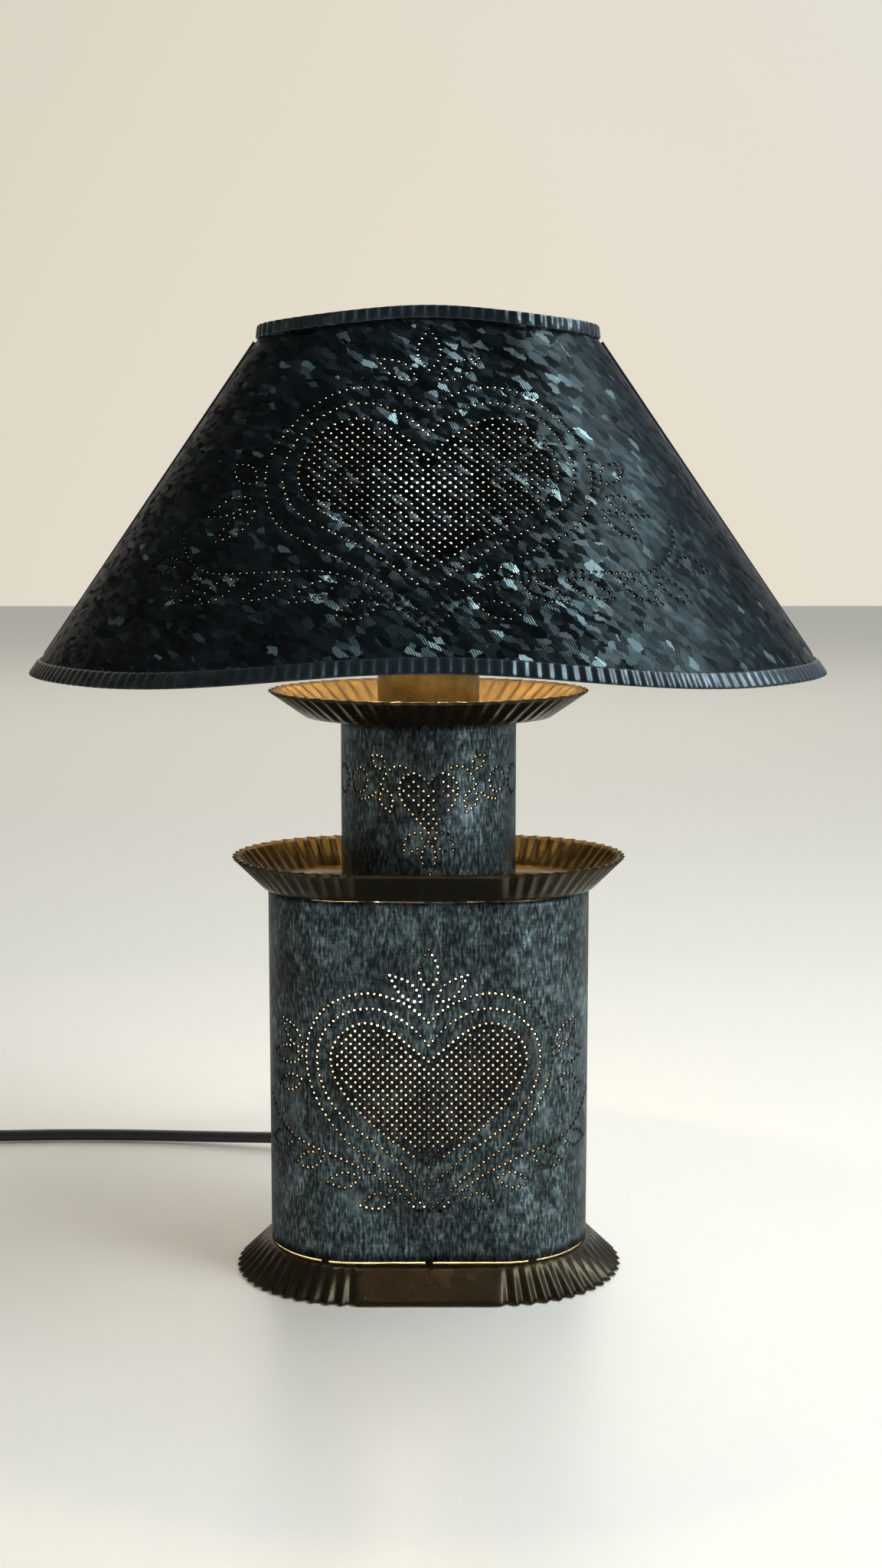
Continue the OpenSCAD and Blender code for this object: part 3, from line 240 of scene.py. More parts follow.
RISER_HEART = [(0, 260.6), (3.5, 264), (8, 265.6), (13, 262.8), (15, 257.5), (13, 251), (7, 244), (0, 236)]
RISER_SCROLL = [(11.5, 268.2), (14.5, 269), (17.5, 268.5), (20.3, 266.8), (22.3, 264.6), (23.8, 262),
                (25.2, 259.4)]
RISER_TWIG = [(28.5, 255), (31.5, 252.8), (35, 251.6), (38.5, 251)]
RISER_LEAVES = [((23, 268), (30.5, 273.5), 6.5), ((24, 257), (20, 246), 7.5), ((4, 236), (12.5, 225.5), 8)]
RISER_DROP = ((0, 231.5), (0, 214), 7)
RISER_RINGS = [(39.5, 260.6, 6.2), (55.5, 259.6, 7.2)]
FILL_OFF, LEAST_APART = 0.8, 0.78


def motif(hearts, vine, leaves, top_leaf, pitch, fill):
    """Dots of a heart with its echo lines, filled middle, vines and leaves, in millimetres on the flat sheet."""
    parts = [mirrored(evenly(smooth_line(h, 10), pitch)) for h in hearts]
    parts.append(staggered(heart_outline(hearts[-1]), *fill, pitch * FILL_OFF))
    parts.append(evenly(leaf_outline(*top_leaf), pitch))
    parts.append(mirrored(evenly(smooth_line(vine, 10), pitch)))
    parts += [mirrored(evenly(leaf_outline(*leaf), pitch)) for leaf in leaves]
    return thinned(np.vstack(parts), pitch * LEAST_APART)


def riser_motif(pitch, fill):
    """Dots of the riser's small filled heart, its drops, scrolls and rings."""
    parts = [mirrored(evenly(smooth_line(RISER_HEART, 8), pitch)),
             staggered(heart_outline(RISER_HEART), *fill, pitch * FILL_OFF),
             evenly(leaf_outline(*RISER_DROP), pitch)]
    parts += [mirrored(evenly(smooth_line(line, 8), pitch)) for line in (RISER_SCROLL, RISER_TWIG)]
    parts += [mirrored(evenly(leaf_outline(*leaf), pitch)) for leaf in RISER_LEAVES]
    parts += [mirrored(evenly(ring_outline((u, z), r, 0.9), pitch)) for u, z, r in RISER_RINGS]
    return thinned(np.vstack(parts), pitch * LEAST_APART)


def cut_sheet(outline, rings, points):
    """Flat triangles of an outline less its rings, through given inner points.
    Returns the points, the triangles and, for each point, the number of its ring or -1."""
    blocks = [outline] + list(rings) + [points]
    starts = np.cumsum([0] + [len(b) for b in blocks])
    xy = np.vstack(blocks)
    faces = [list(range(s, s + len(b))) for s, b in zip(starts, blocks[:1 + len(rings)])]
    v, _, f, from_v, _, from_f = delaunay_2d_cdt([Vector(p) for p in xy.tolist()], [], faces, 1, 1e-9, True)
    tris = np.array([t for t, src in zip(f, from_f) if src and not any(k > 0 for k in src)])
    which = np.searchsorted(starts, [ids[0] if ids else starts[-2] for ids in from_v], side="right") - 1
    owner = np.where((which >= 1) & (which <= len(rings)), which - 1, -1)
    return np.array([p[:] for p in v]), tris, owner


DENT_RING, DENT_EDGE = 2.0, 2.9


def punched(outline, dots, hole_r, step, plain=()):
    """Punched sheet on the flat: at each dot a six-sided hole inside two eight-sided rings of its dent, other
    holes plain, and a grid of points between them. Returns points, triangles and the share of the dent's depth."""
    edge_r = DENT_EDGE * hole_r
    holes = circle(dots[:, None], hole_r, 6)
    rings = []
    for r in (DENT_RING * hole_r, edge_r):
        ring = circle(dots[:, None], r, 8).reshape(-1, 2)
        rings.append(ring[nearest(ring, dots) > r * 0.98])
    lo, hi = outline.min(0), outline.max(0)
    gx, gy = np.meshgrid(np.arange(lo[0], hi[0], step), np.arange(lo[1], hi[1], step), indexing="ij")
    grid = np.stack([gx.ravel(), gy.ravel()], 1)
    grid = grid[inside_of(grid, outline)]
    grid = grid[nearest(grid, outline) > step * 0.45]
    grid = grid[nearest(grid, dots) > edge_r * 1.4]
    for ring in plain:
        grid = grid[~inside_of(grid, ring) & (nearest(grid, ring) > step * 0.4)]
    xy, tris, owner = cut_sheet(outline, list(holes) + list(plain), np.vstack(rings + [grid]))
    deep = np.clip((edge_r - nearest(xy, dots)) / (edge_r - hole_r), 0, 1)
    return xy, tris, np.where((owner >= 0) & (owner < len(dots)), 1.0, deep)


def can_surface(u, z, depth, half, r):
    """Flat sheet rolled round an oval: u runs round the outline from the middle of the front, z is height."""
    quarter = half + math.pi * r / 2
    lap = np.mod(u + quarter, 4 * quarter)
    back = lap >= 2 * quarter
    v = np.where(back, lap - 3 * quarter, lap - quarter)
    turn = np.clip((np.abs(v) - half) / r, 0, None)
    x = np.sign(v) * (np.minimum(np.abs(v), half) + (r - depth) * np.sin(turn))
    y = -(r - depth) * np.cos(turn)
    flip = np.where(back, -1, 1)
    return np.stack([x * flip, y * flip, z], 1)


def shade_slope():
    """Sine and cosine of the wall's lean, and the slant length from the bottom edge to the cone's point."""
    s = sizes()
    lean = math.atan((s.shade_bottom_r - s.shade_top_r) / s.shade_h)
    return math.sin(lean), math.cos(lean), s.shade_bottom_r / math.sin(lean)


def shade_surface(x, y, depth, side):
    """Flat half sheet folded to its shape: a plane in the middle and a quarter cone at each end.
    x is measured from the middle line and y up the slant; side -1 is the front and 1 the back."""
    s = sizes()
    sin, cos, apex = shade_slope()
    out = np.clip(np.abs(x) - s.oval_half, 0, None)
    reach = np.hypot(out, apex - y)
    turn = np.arctan2(out, apex - y) / sin
    r = reach * sin - depth * cos
    px = np.sign(x) * (np.minimum(np.abs(x), s.oval_half) + r * np.sin(turn))
    return np.stack([-side * px, side * r * np.cos(turn), s.shade_z0 + (apex - reach) * cos - depth * sin], 1)


def wave(x, half_width):
    """One smooth swell, 1 in the middle and 0 from the half width on."""
    return np.where(np.abs(x) < half_width, (1 + np.cos(np.pi * x / half_width)) / 2, 0.0)


# Height and half width of the swell in the shade's lower and upper edges
LOW_SWELL, LOW_SWELL_W, TOP_SWELL, TOP_SWELL_W = 0.009, 0.155, 0.006, 0.080
# Share of an edge's points that lie on its round ends
ENDS_SHARE = 0.62


def bottom_edge(x):
    """Height of the shade's lower edge."""
    return sizes().shade_z0 + LOW_SWELL * wave(x, LOW_SWELL_W)


def top_edge(x):
    """Height of the shade's upper edge."""
    return sizes().shade_z0 + sizes().shade_h + TOP_SWELL * wave(x, TOP_SWELL_W)


def shade_r(z):
    """Radius of the shade's ends at a height."""
    s = sizes()
    return s.shade_bottom_r - (s.shade_bottom_r - s.shade_top_r) * (z - s.shade_z0) / s.shade_h


def shade_edge_flat(edge, drop, n):
    """An edge of the half sheet on the flat, from its left end to its right end."""
    s = sizes()
    sin, _, apex = shade_slope()
    a = np.linspace(-1, 1, n)
    turn = np.sign(a) * np.clip((np.abs(a) - (1 - ENDS_SHARE)) / ENDS_SHARE, 0, 1) * np.pi / 2
    flat = np.clip(a / (1 - ENDS_SHARE), -1, 1) * s.oval_half
    z = np.full(n, s.shade_z0 + (0.001 if edge is bottom_edge else s.shade_h))
    for _ in range(3):
        z = edge(flat + shade_r(z) * np.sin(turn)) - drop
    reach = shade_r(z) / sin
    return np.stack([flat + reach * np.sin(turn * sin), apex - reach * np.cos(turn * sin)], 1)


def grid_faces(nu, nv, wrap_u=False, wrap_v=False):
    """Quads of a grid of nu by nv points, closed round where asked."""
    i, j = np.meshgrid(np.arange(nu if wrap_u else nu - 1), np.arange(nv if wrap_v else nv - 1), indexing="ij")
    k, l = (i + 1) % nu, (j + 1) % nv
    return np.stack([i * nv + j, k * nv + j, k * nv + l, i * nv + l], -1).reshape(-1, 4)


def lathe(profile, turns=64):
    """Profile of radius and height turned about Z; points on the axis are merged later."""
    p = np.asarray(profile, float)
    a = np.linspace(0, 2 * np.pi, turns, endpoint=False)[:, None]
    verts = np.stack([p[:, 0] * np.cos(a), p[:, 0] * np.sin(a), p[:, 1] + 0 * a], -1)
    return verts.reshape(-1, 3), grid_faces(turns, len(p), wrap_u=True)


def tube(path, r, sides, ref):
    """Round tube along a path: rings square to the path, turned from a reference direction, with flat ends."""
    p = np.asarray(path, float)
    t = np.gradient(p, axis=0)
    t /= np.linalg.norm(t, axis=1, keepdims=True)
    right = np.cross(t, ref)
    right /= np.linalg.norm(right, axis=1, keepdims=True)
    up = np.cross(right, t)
    a = np.linspace(0, 2 * np.pi, sides, endpoint=False)
    verts = p[:, None] + r * (np.cos(a)[None, :, None] * right[:, None] + np.sin(a)[None, :, None] * up[:, None])
    n = len(p)
    faces = grid_faces(n, sides, wrap_v=True).tolist()
    return verts.reshape(-1, 3), faces + [list(range(sides))[::-1], list(range((n - 1) * sides, n * sides))]


def joined(parts):
    """Several shapes as one: points stacked and faces counted on."""
    verts, faces, at = [], [], 0
    for v, f in parts:
        verts.append(v)
        faces += [[at + i for i in face] for face in (f.tolist() if isinstance(f, np.ndarray) else f)]
        at += len(v)
    return np.vstack(verts), faces


def tab_strips(places, z, up, reach):
    """Bent tabs: an L section, upright through a floor and folded over it, carried across the tab's width."""
    t = sizes().sheet
    side, fold, top = t / 2, TAB_FOLD - t / 2, reach + t
    section = np.array([(-side, 0), (side, 0), (side, reach), (fold, reach), (fold, top), (-side, top)])
    sides = [[i, (i + 1) % 6, 6 + (i + 1) % 6, 6 + i] for i in range(6)]
    faces = sides + [[5, 4, 3, 2], [5, 2, 1, 0], [6, 7, 8, 11], [8, 9, 10, 11]]
    if up < 0:
        faces = [face[::-1] for face in faces]
    parts = []
    for x, y, turn in places:
        inward, across = (np.array([math.cos(b), math.sin(b), 0]) for b in (turn, turn + math.pi / 2))
        bent = np.array([x, y, z]) + section[:, :1] * inward + section[:, 1:] * np.array([0, 0, up])
        parts.append((np.vstack([bent + across * k * TAB_W / 2 for k in (-1, 1)]), faces))
    return parts


def oval_ring(r, a, half):
    """Points of an oval outline: a goes round once, as a whole turn, over two ends and two straights."""
    q = np.mod(a, 1.0) * 4
    end, t = np.floor(q).astype(int), q - np.floor(q)
    turn = np.where(end % 2 == 0, (t - 0.5) * np.pi + (end // 2) * np.pi, (end // 2) * np.pi + np.pi / 2)
    slide = np.where(end % 2 == 0, 1.0, 1 - 2 * t) * np.where(end < 2, 1, -1)
    return np.stack([slide * half + r * np.cos(turn), r * np.sin(turn)], -1)


# Pieces

def add_object(name, data):
    """A new object in the scene, at the origin."""
    obj = bpy.data.objects.new(name, data)
    bpy.context.scene.collection.objects.link(obj)
    return obj


def merge_doubles(mesh):
    """Joins points that lie in the same place."""
    bm = bmesh.new()
    bm.from_mesh(mesh)
    bmesh.ops.remove_doubles(bm, verts=bm.verts, dist=1e-6)
    bm.to_mesh(mesh)
    bm.free()


def add_piece(name, verts, faces, materials, body, slot, nodes=(), uv=None, merge=False, sharp=None, dent=None):
    """Puts arrays into a mesh, gives it its materials and body, and hides the nodes it stands for."""
    mesh = bpy.data.meshes.new(name)
    mesh.from_pydata(np.asarray(verts).tolist(), [], faces if isinstance(faces, list) else faces.tolist())
    if uv is not None:
        layer = mesh.uv_layers.new(name="Sheet")
        at = np.empty(len(mesh.loops), np.int32)
        mesh.loops.foreach_get("vertex_index", at)
        layer.data.foreach_set("uv", np.asarray(uv)[at].astype(np.float32).ravel())
    # The dent attribute holds each point's share of painted shade, for the dents round the holes and the filled
    # hearts.
    if dent is not None:
        mesh.attributes.new("dent", "FLOAT", "POINT").data.foreach_set("value", np.asarray(dent, np.float32))
    if merge:
        merge_doubles(mesh)
    mesh.polygons.foreach_set("use_smooth", np.ones(len(mesh.polygons), bool))
    if sharp is not None:
        mesh.set_sharp_from_angle(angle=math.radians(sharp))
    obj = add_object(name, mesh)
    for m in materials:
        mesh.materials.append(m)
    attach(obj, body)
    if nodes:
        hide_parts(*nodes)
    return obj


def thicken(obj, thickness, inner=0):
    """Gives a sheet its thickness on the inner side, with the second material there if it has one."""
    mod = obj.modifiers.new("Sheet", "SOLIDIFY")
    mod.thickness = thickness
    mod.offset = -1.0
    mod.material_offset = inner
    mod.material_offset_rim = 0


# Materials

def principled(name, base=(0.5, 0.5, 0.5), metallic=0.0, roughness=0.5):
    """A new material with its node tree and shader."""
    mat = bpy.data.materials.new(name)
    mat.use_nodes = True
    shader = mat.node_tree.nodes["Principled BSDF"]
    shader.inputs["Base Color"].default_value = (*base, 1)
    shader.inputs["Metallic"].default_value = metallic
    shader.inputs["Roughness"].default_value = roughness
    return mat, mat.node_tree, shader


def link_all(shader, sockets):
    """Links values to the shader's inputs by name."""
    for name, socket in sockets.items():
        shader.id_data.links.new(socket, shader.inputs[name])


def node(tree, kind, inputs=None, **values):
    """Adds a node, sets its properties and either sets or links its inputs."""
    n = tree.nodes.new(kind)
    for key, value in values.items():
        setattr(n, key, value)
    for key, value in (inputs or {}).items():
        if isinstance(value, bpy.types.NodeSocket):
            tree.links.new(value, n.inputs[key])
        else:
            n.inputs[key].default_value = value
    return n


def place(tree, source, scale=(1, 1, 1), turn=0.0):
    """Coordinates of the piece, or of its flat sheet, stretched and then turned by an angle in degrees."""
    if source == "UV":
        out = node(tree, "ShaderNodeUVMap", uv_map="Sheet").outputs["UV"]
    else:
        out = node(tree, "ShaderNodeTexCoord").outputs["Object"]
    return node(tree, "ShaderNodeMapping", {"Vector": out, "Scale": scale,
                                            "Rotation": (0, 0, math.radians(turn))}).outputs["Vector"]


def ramp(tree, fac, stops):
    """Colour ramp with the given stops, in which a plain number is a grey."""
    n = node(tree, "ShaderNodeValToRGB", {"Fac": fac})
    while len(n.color_ramp.elements) < len(stops):
        n.color_ramp.elements.new(0.5)
    for e, (at, c) in zip(n.color_ramp.elements, stops):
        e.position = at
        e.color = (*c, 1) if isinstance(c, tuple) else (c, c, c, 1)
    return n.outputs["Color"]


def mix(tree, fac, a, b, kind="MIX"):
    """Mix of two colours."""
    n = node(tree, "ShaderNodeMix", data_type="RGBA", blend_type=kind)
    for key, value in ((0, fac), (6, a), (7, b)):
        if isinstance(value, bpy.types.NodeSocket):
            tree.links.new(value, n.inputs[key])
        else:
            n.inputs[key].default_value = (*value, 1) if isinstance(value, (tuple, list)) else value
    return n.outputs[2]


def toned(tree, base, value, stops, share=1.0):
    """A colour multiplied by a ramp over a value."""
    return mix(tree, share, base, ramp(tree, value, stops), "MULTIPLY")


def noise(tree, vector, scale, detail=3.0, rough=0.5, out="Fac"):
    """Cloudy noise."""
    return node(tree, "ShaderNodeTexNoise", {"Vector": vector, "Scale": scale, "Detail": detail,
                                             "Roughness": rough}).outputs[out]


def vec(tree, operation, a, b=None, out=0):
    """Vector arithmetic."""
    inputs = {0: a} if b is None else {0: a, 1: b}
    return node(tree, "ShaderNodeVectorMath", inputs, operation=operation).outputs[out]


def spread(tree, value, low, high, least, most, kind="LINEAR"):
    """A value brought from the range low to high into the range least to most."""
    return node(tree, "ShaderNodeMapRange", {"Value": value, "From Min": low, "From Max": high, "To Min": least,
                                             "To Max": most}, interpolation_type=kind).outputs["Result"]


def bump(tree, height, strength, distance, **normal):
    """The normal tipped by the slope of a height."""
    return node(tree, "ShaderNodeBump", {"Height": height, "Strength": strength, "Distance": distance,
                                         **normal}).outputs["Normal"]


def shade(c, k):
    """A colour made lighter or darker by a factor."""
    return tuple(min(1.0, v * k) for v in c)


def painted_dent_shade(tree, base):
    """Painted shade: the colour taken down towards black in the dents round punched holes, and over the filled
    hearts.
    """
    dent = node(tree, "ShaderNodeAttribute", attribute_name="dent").outputs["Fac"]
    return toned(tree, base, dent, [(0.08, 1), (0.55, 0.05)])


def slanted(tree, vector, turn, scale):
    """Coordinates turned first and then stretched along their new axes."""
    for change in ({"Rotation": (0, 0, math.radians(turn))}, {"Scale": (*scale, 1)}):
        vector = node(tree, "ShaderNodeMapping", {"Vector": vector, **change}).outputs["Vector"]
    return vector


def flakes(tree, uv, scale, reach, turn, stretch):
    """A patchwork of stretched cells with ragged outlines, each with a random colour."""
    push = vec(tree, "MULTIPLY", noise(tree, uv, scale, 3.0, 0.6, "Color"), (reach, reach, 0))
    ragged = slanted(tree, vec(tree, "ADD", uv, push), turn, stretch)
    return node(tree, "ShaderNodeTexVoronoi", {"Vector": ragged, "Scale": 1.0}).outputs["Color"]


def spangled_tin(name):
    """Dark galvanised sheet: small slanting flakes, each with its own tone, gloss and tilt, under fine lines."""
    dark, flake = tuple(colours().shade_dark), tuple(colours().shade_flake)
    mat, tree, bsdf = principled(name, metallic=0.9)
    bsdf.inputs["Specular Tint"].default_value = (0.45, 0.45, 0.46, 1)
    uv = place(tree, "UV")
    cells = flakes(tree, uv, 170.0, 0.0045, 38, (165, 350))
    tone = node(tree, "ShaderNodeSeparateColor", {"Color": cells}).outputs
    base = ramp(tree, tone["Red"], [(0.0, shade(dark, 0.75)), (0.5, dark), (0.88, shade(dark, 1.4)),
                                    (0.97, shade(flake, 0.15)), (1.0, shade(flake, 0.5))])
    base = toned(tree, base, noise(tree, uv, 34.0, 6.0, 0.6), [(0.3, (0.55, 0.5, 0.45)), (0.7, (1.4, 1.45, 1.45))])
    hatch = node(tree, "ShaderNodeTexWave", {"Vector": place(tree, "UV", turn=20), "Scale": 420.0,
                                             "Distortion": 2.0, "Detail": 1.0}, bands_direction="DIAGONAL")
    hatch = hatch.outputs["Fac"]
    base = toned(tree, base, hatch, [(0.3, 0.5), (0.7, 1.4)], 0.35)
    tilt = vec(tree, "MULTIPLY", vec(tree, "ADD", cells, (-0.5, -0.5, -0.5)), (0.46, 0.46, 0.46))
    facing = vec(tree, "NORMALIZE", vec(tree, "ADD", node(tree, "ShaderNodeNewGeometry").outputs["Normal"], tilt))
    # Painted shade in the dents round the holes, and over the filled heart, goes into the base colour.
    link_all(bsdf, {"Base Color": painted_dent_shade(tree, base), "Roughness": spread(tree, tone["Green"], 0, 1, 0.24, 0.45),
                    "Normal": bump(tree, hatch, 0.15, 0.0004, Normal=facing)})
    return mat


def streaked_tin(name):
    """Dark sheet with short upright brush marks over a patchwork of flakes, pale worn patches and scratches."""
    dark, pale = tuple(colours().can_dark), tuple(colours().can_pale)
    mat, tree, bsdf = principled(name, metallic=0.65)
    bsdf.inputs["Specular Tint"].default_value = (0.6, 0.6, 0.6, 1)
    uv = place(tree, "UV")
    upright = noise(tree, place(tree, "UV", (740, 190, 1)), 1.0, 2.0, 0.55)
    level = noise(tree, place(tree, "UV", (170, 700, 1)), 1.0, 2.0, 0.55)
    patch = noise(tree, place(tree, "UV", (1, 0.6, 1)), 60.0, 6.0, 0.65)
    worn = noise(tree, place(tree, "UV", (1, 0.55, 1)), 24.0, 4.0, 0.6)
    cells = flakes(tree, uv, 160.0, 0.006, 0, (150, 80))
    tone = node(tree, "ShaderNodeSeparateColor", {"Color": cells}).outputs["Red"]
    base = ramp(tree, upright, [(0.34, shade(dark, 0.3)), (0.5, shade(dark, 1.2)), (0.66, shade(pale, 0.75))])
    base = toned(tree, base, level, [(0.35, 0.4), (0.66, 1.6)], 0.45)
    base = toned(tree, base, tone, [(0.0, 0.62), (0.7, 1.05), (1.0, 1.7)])
    base = mix(tree, ramp(tree, patch, [(0.56, 0), (0.70, 0.75)]), base, shade(pale, 0.8))
    base = toned(tree, base, worn, [(0.3, (0.5, 0.47, 0.43)), (0.7, (1.6, 1.62, 1.62))])
    lines = node(tree, "ShaderNodeTexVoronoi", {"Vector": slanted(tree, uv, 62, (30, 230)), "Scale": 1.0},
                 feature="DISTANCE_TO_EDGE").outputs["Distance"]
    spot = ramp(tree, noise(tree, uv, 30.0, 1.0), [(0.62, 0), (0.75, 0.5)])
    base = mix(tree, toned(tree, spot, lines, [(0.0, 1), (0.02, 0)]), base, shade(pale, 1.5))
    # Painted shade in the dents round the holes, and over the filled heart, goes into the base colour.
    link_all(bsdf, {"Base Color": painted_dent_shade(tree, base), "Roughness": spread(tree, patch, 0.3, 0.75, 0.52, 0.32),
                    "Normal": bump(tree, upright, 0.25, 0.0003)})
    return mat


def bronzed_tin(name, base, metallic, low, high, mottle=70.0):
    """Browned sheet with cloudy mottling that changes its tone and gloss."""
    mat, tree, bsdf = principled(name, metallic=metallic)
    at = place(tree, "Object")
    cloud = noise(tree, at, mottle, 5.0, 0.6)
    col = ramp(tree, cloud, [(0.3, shade(base, 0.55)), (0.55, tuple(base)), (0.75, shade(base, 1.7))])
    col = toned(tree, col, noise(tree, at, mottle * 14, 2.0), [(0.3, 0.6), (0.7, 1.35)], 0.3)
    link_all(bsdf, {"Base Color": col, "Roughness": spread(tree, cloud, 0.25, 0.75, high, low),
                    "Normal": bump(tree, cloud, 0.08, 0.0006)})
    return mat


def moulded(name, base, roughness):
    """Moulded black or pale plastic, or rubber, with a fine skin."""
    mat, tree, bsdf = principled(name, base, 0.0, roughness)
    skin = noise(tree, place(tree, "Object"), 900.0, 2.0)
    link_all(bsdf, {"Base Color": ramp(tree, skin, [(0.3, shade(base, 0.8)), (0.7, shade(base, 1.25))]),
                    "Normal": bump(tree, skin, 0.1, 0.0003)})
    return mat


def clear_glass(name):
    """Thin clear bulb glass: mostly transparent, with gloss at grazing angles."""
    mat, _, bsdf = principled(name, (1, 0.98, 0.94), 0.0, 0.05)
    bsdf.inputs["Alpha"].default_value = 0.12
    bsdf.inputs["IOR"].default_value = 1.45
    return mat


def lit(name, strength):
    """Glowing filament."""
    glow = tuple(colours().glow)
    mat, _, bsdf = principled(name, glow, 0.0, 0.4)
    bsdf.inputs["Emission Color"].default_value = (*glow, 1)
    bsdf.inputs["Emission Strength"].default_value = strength
    return mat


MATERIALS = {}


def finish(key):
    """The material of that name, made when first asked for."""
    c = colours()
    kinds = {
        "shade": (spangled_tin, "spangled_tin"),
        "can": (streaked_tin, "streaked_tin"),
        "pan": (bronzed_tin, "bronzed_pan_tin", c.pan, 0.9, 0.2, 0.4),
        # Painted light: a lit copy of the pan tin, for the pans' inner faces
        "pan_inside_lit": (bronzed_tin, "pan_inner_tin", c.pan_inside_lit, 0.85, 0.26, 0.42),
        # Painted light: lighter golden tone for the bulb's warm light on the tin sleeve
        "sleeve": (bronzed_tin, "sleeve_tin", c.sleeve, 0.85, 0.3, 0.46),
        "trim": (bronzed_tin, "crimped_trim_tin", c.trim, 0.9, 0.2, 0.35, 120.0),
        "inside": (bronzed_tin, "inner_tin", c.inside, 0.25, 0.4, 0.6),
        "black": (moulded, "black_moulding", (0.015, 0.014, 0.014), 0.3),
        "rubber": (moulded, "cord_sheath", c.cord, 0.42),
        "plug": (moulded, "plug_plastic", (0.014, 0.014, 0.015), 0.45),
        "ivory": (moulded, "ivory_plastic", (0.6, 0.56, 0.46), 0.5),
        "brass": (bronzed_tin, "plain_brass", (0.6, 0.42, 0.16), 1.0, 0.25, 0.4),
        "nickel": (bronzed_tin, "nickel", (0.6, 0.6, 0.58), 1.0, 0.2, 0.32),
        "cap": (bronzed_tin, "cap_metal", (0.55, 0.54, 0.5), 1.0, 0.25, 0.4),
        "glass": (clear_glass, "bulb_glass"),
        "lit": (lit, "lit_filament", 220.0),
        "stem": (moulded, "stem_glass", (0.7, 0.68, 0.62), 0.2),
    }
    if key not in MATERIALS:
        make, *values = kinds[key]
        MATERIALS[key] = make(*values)
    return MATERIALS[key]


# Operators

SENSOR, FOCAL_PX, FRAME_PX = 24.0, 2610, 2048
CAMERA_AT, CAMERA_DOWN, CAMERA_TURN = (0.0, -1.021, 0.3853), 7.295, -0.36
FLOOR_HALF, FLOOR_Z, FLOOR_COLOUR = 9, -0.0005, (0.74, 0.71, 0.65)
CREAM, COOL = (0.95, 0.87, 0.73), (0.76, 0.88, 0.97)
# Studio lights: name, place, aim, size, power and tint
STUDIO = (("key", (1.15, -0.50, 1.55), (0, 0, 0.35), 0.9, 20, (0.84, 0.94, 1.0)),
          ("side", (1.5, -1.1, 0.95), (0, 0, 0.25), 0.8, 18, (0.88, 0.95, 1.0)),
          ("fill", (-1.6, -1.0, 0.9), (0, 0, 0.25), 1.2, 0.8, (1.0, 0.93, 0.84)),
          ("top", (0.85, 0.30, 1.75), (0, 0, 0.4), 0.9, 11, (0.92, 0.97, 1.0)),
          ("back", (0, 3.2, 2.6), (0, 2.5, 0), 2.5, 40, (1.0, 0.95, 0.86)))
# Light of the lit coils: name, place and power
GLOW_R = 0.006
GLOW = (("upper_light", (0, 0, 0.409), 6.5), ("lower_light", (-0.012, 0, 0.136), 2.3),
        ("riser_light", (0.02, 0.01, 0.245), 0.15))


class TINLAMP_OT_stage(bpy.types.Operator):
    """Camera, floor and lights"""
    bl_idname = "tinlamp.stage"
    bl_label = "Camera, floor and lights"

    def execute(self, context):
        cam = bpy.data.cameras.new("camera")
        cam.sensor_fit = "VERTICAL"
        cam.sensor_height = SENSOR
        cam.lens = SENSOR * FOCAL_PX / FRAME_PX
        cam.clip_end = 50
        eye = add_object("camera", cam)
        eye.location = CAMERA_AT
        eye.rotation_euler = (math.radians(90 - CAMERA_DOWN), 0, math.radians(CAMERA_TURN))
        context.scene.camera = eye

        mesh = bpy.data.meshes.new("floor")
        corners = ((-1, -1), (1, -1), (1, 1), (-1, 1))
        mesh.from_pydata([(x * FLOOR_HALF, y * FLOOR_HALF, FLOOR_Z) for x, y in corners], [], [(0, 1, 2, 3)])
        floor = add_object("floor", mesh)
        mesh.materials.append(principled("floor", FLOOR_COLOUR, 0.0, 0.35)[0])

        world = bpy.data.worlds.new("soft")
        world.use_nodes = True
        tree = world.node_tree
        way = node(tree, "ShaderNodeTexCoord").outputs["Generated"]

        def towards(direction, *span):
            """A value that grows from least to most as the view turns towards a direction."""
            return spread(tree, vec(tree, "DOT_PRODUCT", way, direction, "Value"), *span, "SMOOTHSTEP")
        cool = towards((0.75, -0.42, 0.51), -0.35, 0.45, 0.0, 1.0)
        link_all(tree.nodes["Background"], {"Color": mix(tree, cool, CREAM, COOL),
                                            "Strength": towards((0.70, 0.60, -0.39), -0.65, 0.65, 0.21, 0.84)})
        context.scene.world = world

        for name, at, aim, size, power, tint in STUDIO:
            light = bpy.data.lights.new(name, "AREA")
            light.shape, light.size, light.energy, light.color = "DISK", size, power, tint
            obj = add_object(name, light)
            obj.location = at
            obj.rotation_euler = (Vector(aim) - Vector(at)).to_track_quat("-Z", "Y").to_euler()
        for name, at, power in GLOW:
            light = bpy.data.lights.new(name, "POINT")
            light.energy, light.shadow_soft_size, light.color = power, GLOW_R, tuple(colours().glow)
            add_object(name, light).location = at
        context.scene.view_settings.view_transform = "Standard"
        return {"FINISHED"}


# The cord's free run in millimetres, and its coil: inner radius, turns in and out, pitch, height, and how far it
# pulls in while it climbs a layer
CORD_RUN = [(0, 77.5, 38), (0, 91.5, 37.5), (-2, 107.5, 34), (-9, 128, 28), (-22, 150, 21), (-45, 170, 14.5),
            (-72, 184, 9.5), (-101, 194, 6.5), (-140, 203, 4.4), (-187, 209, 3.6), (-230, 210, 3.6),
            (-272, 208, 3.7), (-305, 207, 4.2), (-334, 207, 4.6)]
COIL_START = np.array([-0.334, 0.207])
COIL_R, COIL_IN, COIL_OUT, COIL_PITCH, COIL_Z0, COIL_PULL = 0.031, 2.5, 2.25, 0.0076, 0.0046, 0.0014
CLIMB = 0.5
